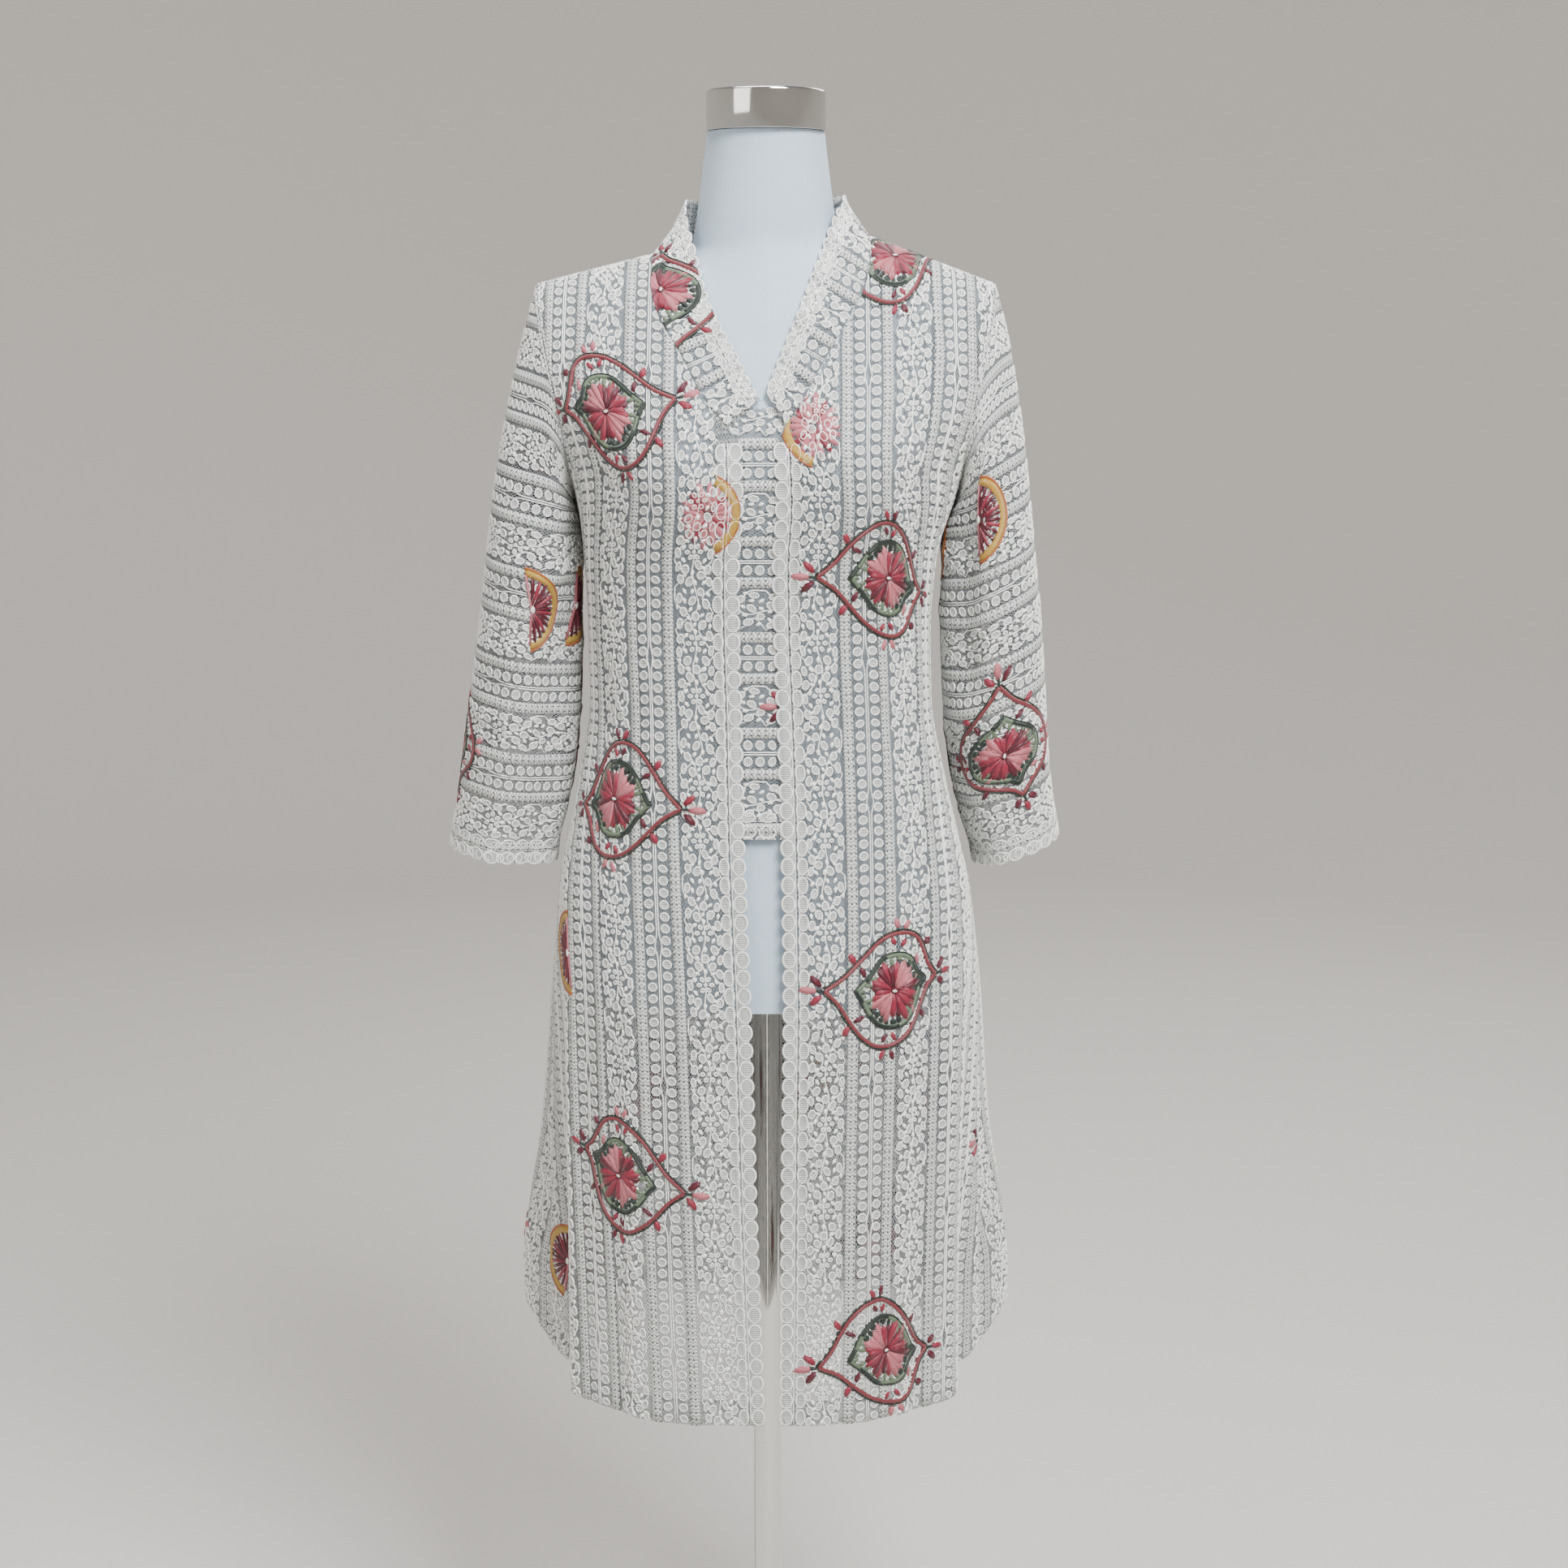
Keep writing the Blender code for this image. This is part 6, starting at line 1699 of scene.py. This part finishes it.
def turned_mesh(name, profile, segments, at=(0.0, 0.0, 0.0)):
    """A mesh turned from its outer profile, (radius, height) from the bottom to the top.

    An open profile gives a surface that is seen from above, so its lowest faces look up.
    """
    work = bmesh.new()
    verts = [work.verts.new((radius, 0.0, height)) for radius, height in profile]
    edges = [work.edges.new(pair) for pair in zip(verts, verts[1:])]
    bmesh.ops.spin(work, geom=verts + edges, axis=(0, 0, 1), cent=(0, 0, 0), angle=math.tau, steps=segments,
                   use_merge=True)
    bmesh.ops.remove_doubles(work, verts=work.verts, dist=1e-6)
    bmesh.ops.recalc_face_normals(work, faces=work.faces)
    lowest = min(work.faces, key=lambda face: face.calc_center_median().z)
    if any(edge.is_boundary for edge in work.edges) and lowest.normal.z < 0.0:
        bmesh.ops.reverse_faces(work, faces=work.faces)
    bmesh.ops.translate(work, verts=work.verts, vec=at)
    mesh = bpy.data.meshes.new(name)
    work.to_mesh(mesh)
    work.free()
    return mesh


def turned_piece(name, node, profile, segments=96, at=(0.0, 0.0, 0.0)):
    """A turned piece of the chrome stand, in place of its CAD node."""
    mesh = turned_mesh(name, profile, segments, at)
    settle(add_piece(name, mesh, [MATERIALS["chrome"]]), node)
    mesh.set_sharp_from_angle(angle=math.radians(35.0))


def arc(middle_radius, middle_height, radius, start, end, count=5):
    """Profile points on a small arc, with angles from level outwards, in degrees."""
    turns = np.radians(np.linspace(start, end, count))
    return [(middle_radius + radius * math.cos(turn), middle_height + radius * math.sin(turn)) for turn in turns]


# The form's points round it, and its levels as (first, last, count), closest at the shoulders
FORM_AROUND = 112
FORM_ROWS = ((FORM_BOTTOM, 1.20, 36), (1.20, 1.345, 26), (1.345, 1.42, 40), (1.42, FORM_TOP, 16))


class KEBAYA_OT_form(bpy.types.Operator):
    """Makes the jersey-covered dress form"""
    bl_idname = "kebaya.form"
    bl_label = "Dress form"

    def execute(self, context):
        heights = np.unique(np.concatenate([np.linspace(*row) for row in FORM_ROWS]))
        turns = 2.0 * np.pi * np.arange(FORM_AROUND) / FORM_AROUND
        work = bmesh.new()
        rings = []
        for height in heights:
            ring = []
            for turn in turns:
                side = RIGHT if math.sin(turn) >= 0.0 else LEFT
                facing = FRONT if math.cos(turn) >= 0.0 else BACK
                width = self.half_width(height, side)
                x = width * abs(math.sin(turn)) ** FORM_SPREAD
                end = math.sqrt(max(1.0 - (x / width) ** FORM_END_POWER, 0.0))
                y = float(form_depth(x, height, facing, side)) * end
                ring.append(work.verts.new((side * x + float(BODY["lean"](height)), CENTRE_Y + facing * y, height)))
            rings.append([work.edges.new((ring[i - 1], ring[i])) for i in range(FORM_AROUND)])
        for lower, upper in zip(rings, rings[1:]):
            bmesh.ops.bridge_loops(work, edges=lower + upper)
        bmesh.ops.holes_fill(work, edges=rings[0] + rings[-1], sides=0)
        bmesh.ops.recalc_face_normals(work, faces=work.faces)
        mesh = bpy.data.meshes.new("form_body")
        work.to_mesh(mesh)
        work.free()
        obj = add_piece("form_body", mesh, [MATERIALS["jersey"]])
        mesh.set_sharp_from_angle(angle=math.radians(60.0))
        settle(obj, "form_torso")
        return {"FINISHED"}

    @staticmethod
    def half_width(height, side):
        width = float(BODY["half_width"](height)) - FORM_SIDE_CLEAR
        if height > FORM_ARM_WIDTH[0][0]:
            width = min(width, float(ARM_WIDTH(height)))
        xs = np.linspace(0.0, TIP_X, 381)
        below = xs[ridge(xs, side) - FORM_RIDGE_DROP >= height + 0.0005]
        reach = float(below.max()) if len(below) else 0.0
        return max(min(width, reach), float(NECK["half_width"](height)))


CAP_RADIUS, CAP_HEIGHT, CAP_GAP = 0.0495, 0.033, 0.0003
POLE_RADIUS, BASE_RADIUS, BASE_THICK = 0.0125, 0.160, 0.012
SOCKET_RADIUS, SOCKET_HEIGHT = 0.024, 0.040
CAP_GROOVE = ((0.0046, 0.0008), (0.0056, 0.0016), (0.0075, 0.0013))     # (inward, down) from the cap's top edge


class KEBAYA_OT_stand(bpy.types.Operator):
    """Makes the chrome neck cap, the pole and the round base"""
    bl_idname = "kebaya.stand"
    bl_label = "Cap and stand"

    def execute(self, context):
        foot = FORM_TOP + CAP_GAP
        top = foot + CAP_HEIGHT
        cap = [(0.0, foot), (CAP_RADIUS - 0.0006, foot)] + arc(CAP_RADIUS - 0.0008, foot + 0.0008, 0.0008, -80, 0, 3)
        cap += arc(CAP_RADIUS - 0.0022, top - 0.0028, 0.0022, 0, 90, 6)
        cap += [(CAP_RADIUS - inward, top - down) for inward, down in CAP_GROOVE]
        cap += [(0.020, top - 0.0002), (0.0, top)]
        turned_piece("cap", "neck_cap", cap, at=(0.0, CENTRE_Y, 0.0))
        base = [(0.0, 0.0), (BASE_RADIUS - 0.002, 0.0)] + arc(BASE_RADIUS - 0.002, 0.002, 0.002, -90, 0, 4)[1:]
        base += arc(BASE_RADIUS - 0.004, BASE_THICK - 0.004, 0.004, 0, 80, 6)
        base += [(0.060, BASE_THICK - 0.0004), (0.0, BASE_THICK)]
        turned_piece("base", "stand_base", base, segments=128)
        low = BASE_THICK + CAP_GAP
        high = low + SOCKET_HEIGHT
        socket = [(0.0, low), (SOCKET_RADIUS, low)] + arc(SOCKET_RADIUS - 0.004, high - 0.004, 0.004, 0, 90, 6)
        turned_piece("socket", "stand_socket", socket + [(0.0, high)])
        start, end = high + CAP_GAP, FORM_BOTTOM - CAP_GAP
        pole = [(0.0, start), (POLE_RADIUS, start), (POLE_RADIUS, end), (0.0, end)]
        turned_piece("pole", "stand_pole", pole, segments=48)
        return {"FINISHED"}


CAMERA_X, CAMERA_Y = 0.015, -2.0586
IMAGE_WIDTH = 1932
FOCAL_PIXELS = 2982.0
SENSOR = 36.0
FLOOR_RADIUS, COVE_RADIUS, WALL_HEIGHT = 3.6, 1.6, 7.0
# Lights, as (name, place, target, size, watts, tint); the main one's watts are a setting
LIGHTS = (
    ("key_light", (1.0, -1.8, 3.1), (0.0, 0.0, 1.25), 1.2, None, (0.985, 0.995, 1.0)),
    ("fill_light", (-2.4, -2.3, 2.2), (0.0, 0.0, 1.1), 2.0, 34.0, (1.0, 0.99, 0.98)),
    ("top_light", (-0.3, 0.2, 3.9), (0.0, 0.2, 0.0), 1.8, 70.0, (1.0, 1.0, 1.0)),
    ("back_light", (1.6, 2.6, 3.0), (0.0, 0.0, 1.0), 1.6, 40.0, (1.0, 0.99, 0.97)),
)
ROOM_TINT, ROOM_STRENGTH = (0.90, 0.93, 1.0, 1.0), 0.3


class KEBAYA_OT_stage(bpy.types.Operator):
    """Makes the floor, the backdrop, the lights and the camera"""
    bl_idname = "kebaya.stage"
    bl_label = "Stage"

    def execute(self, context):
        settings = context.scene.kebaya
        profile = [(0.0, 0.0), (FLOOR_RADIUS, 0.0)]
        profile += arc(FLOOR_RADIUS, COVE_RADIUS, COVE_RADIUS, -90, 0, 20)[1:]
        profile.append((FLOOR_RADIUS + COVE_RADIUS, WALL_HEIGHT))
        # Matt painted board: one even pale surface, with no gloss
        board = new_material("painted_board", settings.floor_colour, 0.9)
        add_piece("sweep", turned_mesh("sweep", profile, 96), [board])
        for name, place, target, size, power, tint in LIGHTS:
            data = bpy.data.lights.new(name, "AREA")
            data.shape = "SQUARE"
            data.size = size
            data.energy = settings.light_power if power is None else power
            data.color = tint
            light = bpy.data.objects.new(name, data)
            light.location = place
            light.rotation_euler = (Vector(target) - Vector(place)).to_track_quat("-Z", "Y").to_euler()
            light.visible_camera = False
            context.scene.collection.objects.link(light)
        world = bpy.data.worlds.new("soft_room")
        world.use_nodes = True
        world.node_tree.nodes["Background"].inputs["Color"].default_value = ROOM_TINT
        world.node_tree.nodes["Background"].inputs["Strength"].default_value = ROOM_STRENGTH
        context.scene.world = world
        data = bpy.data.cameras.new("camera")
        data.sensor_width = SENSOR
        data.lens = FOCAL_PIXELS * SENSOR / IMAGE_WIDTH
        camera = bpy.data.objects.new("camera", data)
        camera.location = (CAMERA_X, CAMERA_Y, settings.camera_height)
        camera.rotation_euler = (math.pi / 2.0 - settings.camera_pitch, 0.0, 0.0)
        context.scene.collection.objects.link(camera)
        context.scene.camera = camera
        return {"FINISHED"}


class KEBAYA_PT_panel(bpy.types.Panel):
    """The pieces of the blouse and its form"""
    bl_idname = "KEBAYA_PT_panel"
    bl_label = "Kebaya"
    bl_space_type = "VIEW_3D"
    bl_region_type = "UI"
    bl_category = "Kebaya"

    def draw(self, context):
        settings = context.scene.kebaya
        for name in KebayaSettings.__annotations__:
            self.layout.prop(settings, name)
        for operator in OPERATORS:
            self.layout.operator(operator.bl_idname)


OPERATORS = (
    KEBAYA_OT_materials, KEBAYA_OT_cloths, KEBAYA_OT_embroidery, KEBAYA_OT_form, KEBAYA_OT_stand, KEBAYA_OT_stage,
)
CLASSES = (KebayaSettings,) + OPERATORS + (KEBAYA_PT_panel,)


def register():
    for cls in CLASSES:
        bpy.utils.register_class(cls)
    bpy.types.Scene.kebaya = PointerProperty(type=KebayaSettings)


def unregister():
    del bpy.types.Scene.kebaya
    for cls in reversed(CLASSES):
        bpy.utils.unregister_class(cls)


def main():
    for obj in list(bpy.data.objects):
        if obj.name in ("Cube", "Light", "Camera"):
            bpy.data.objects.remove(obj, do_unlink=True)
    register()
    for step in ("materials", "cloths", "embroidery", "form", "stand", "stage"):
        getattr(bpy.ops.kebaya, step)()


if __name__ == "__main__":
    main()
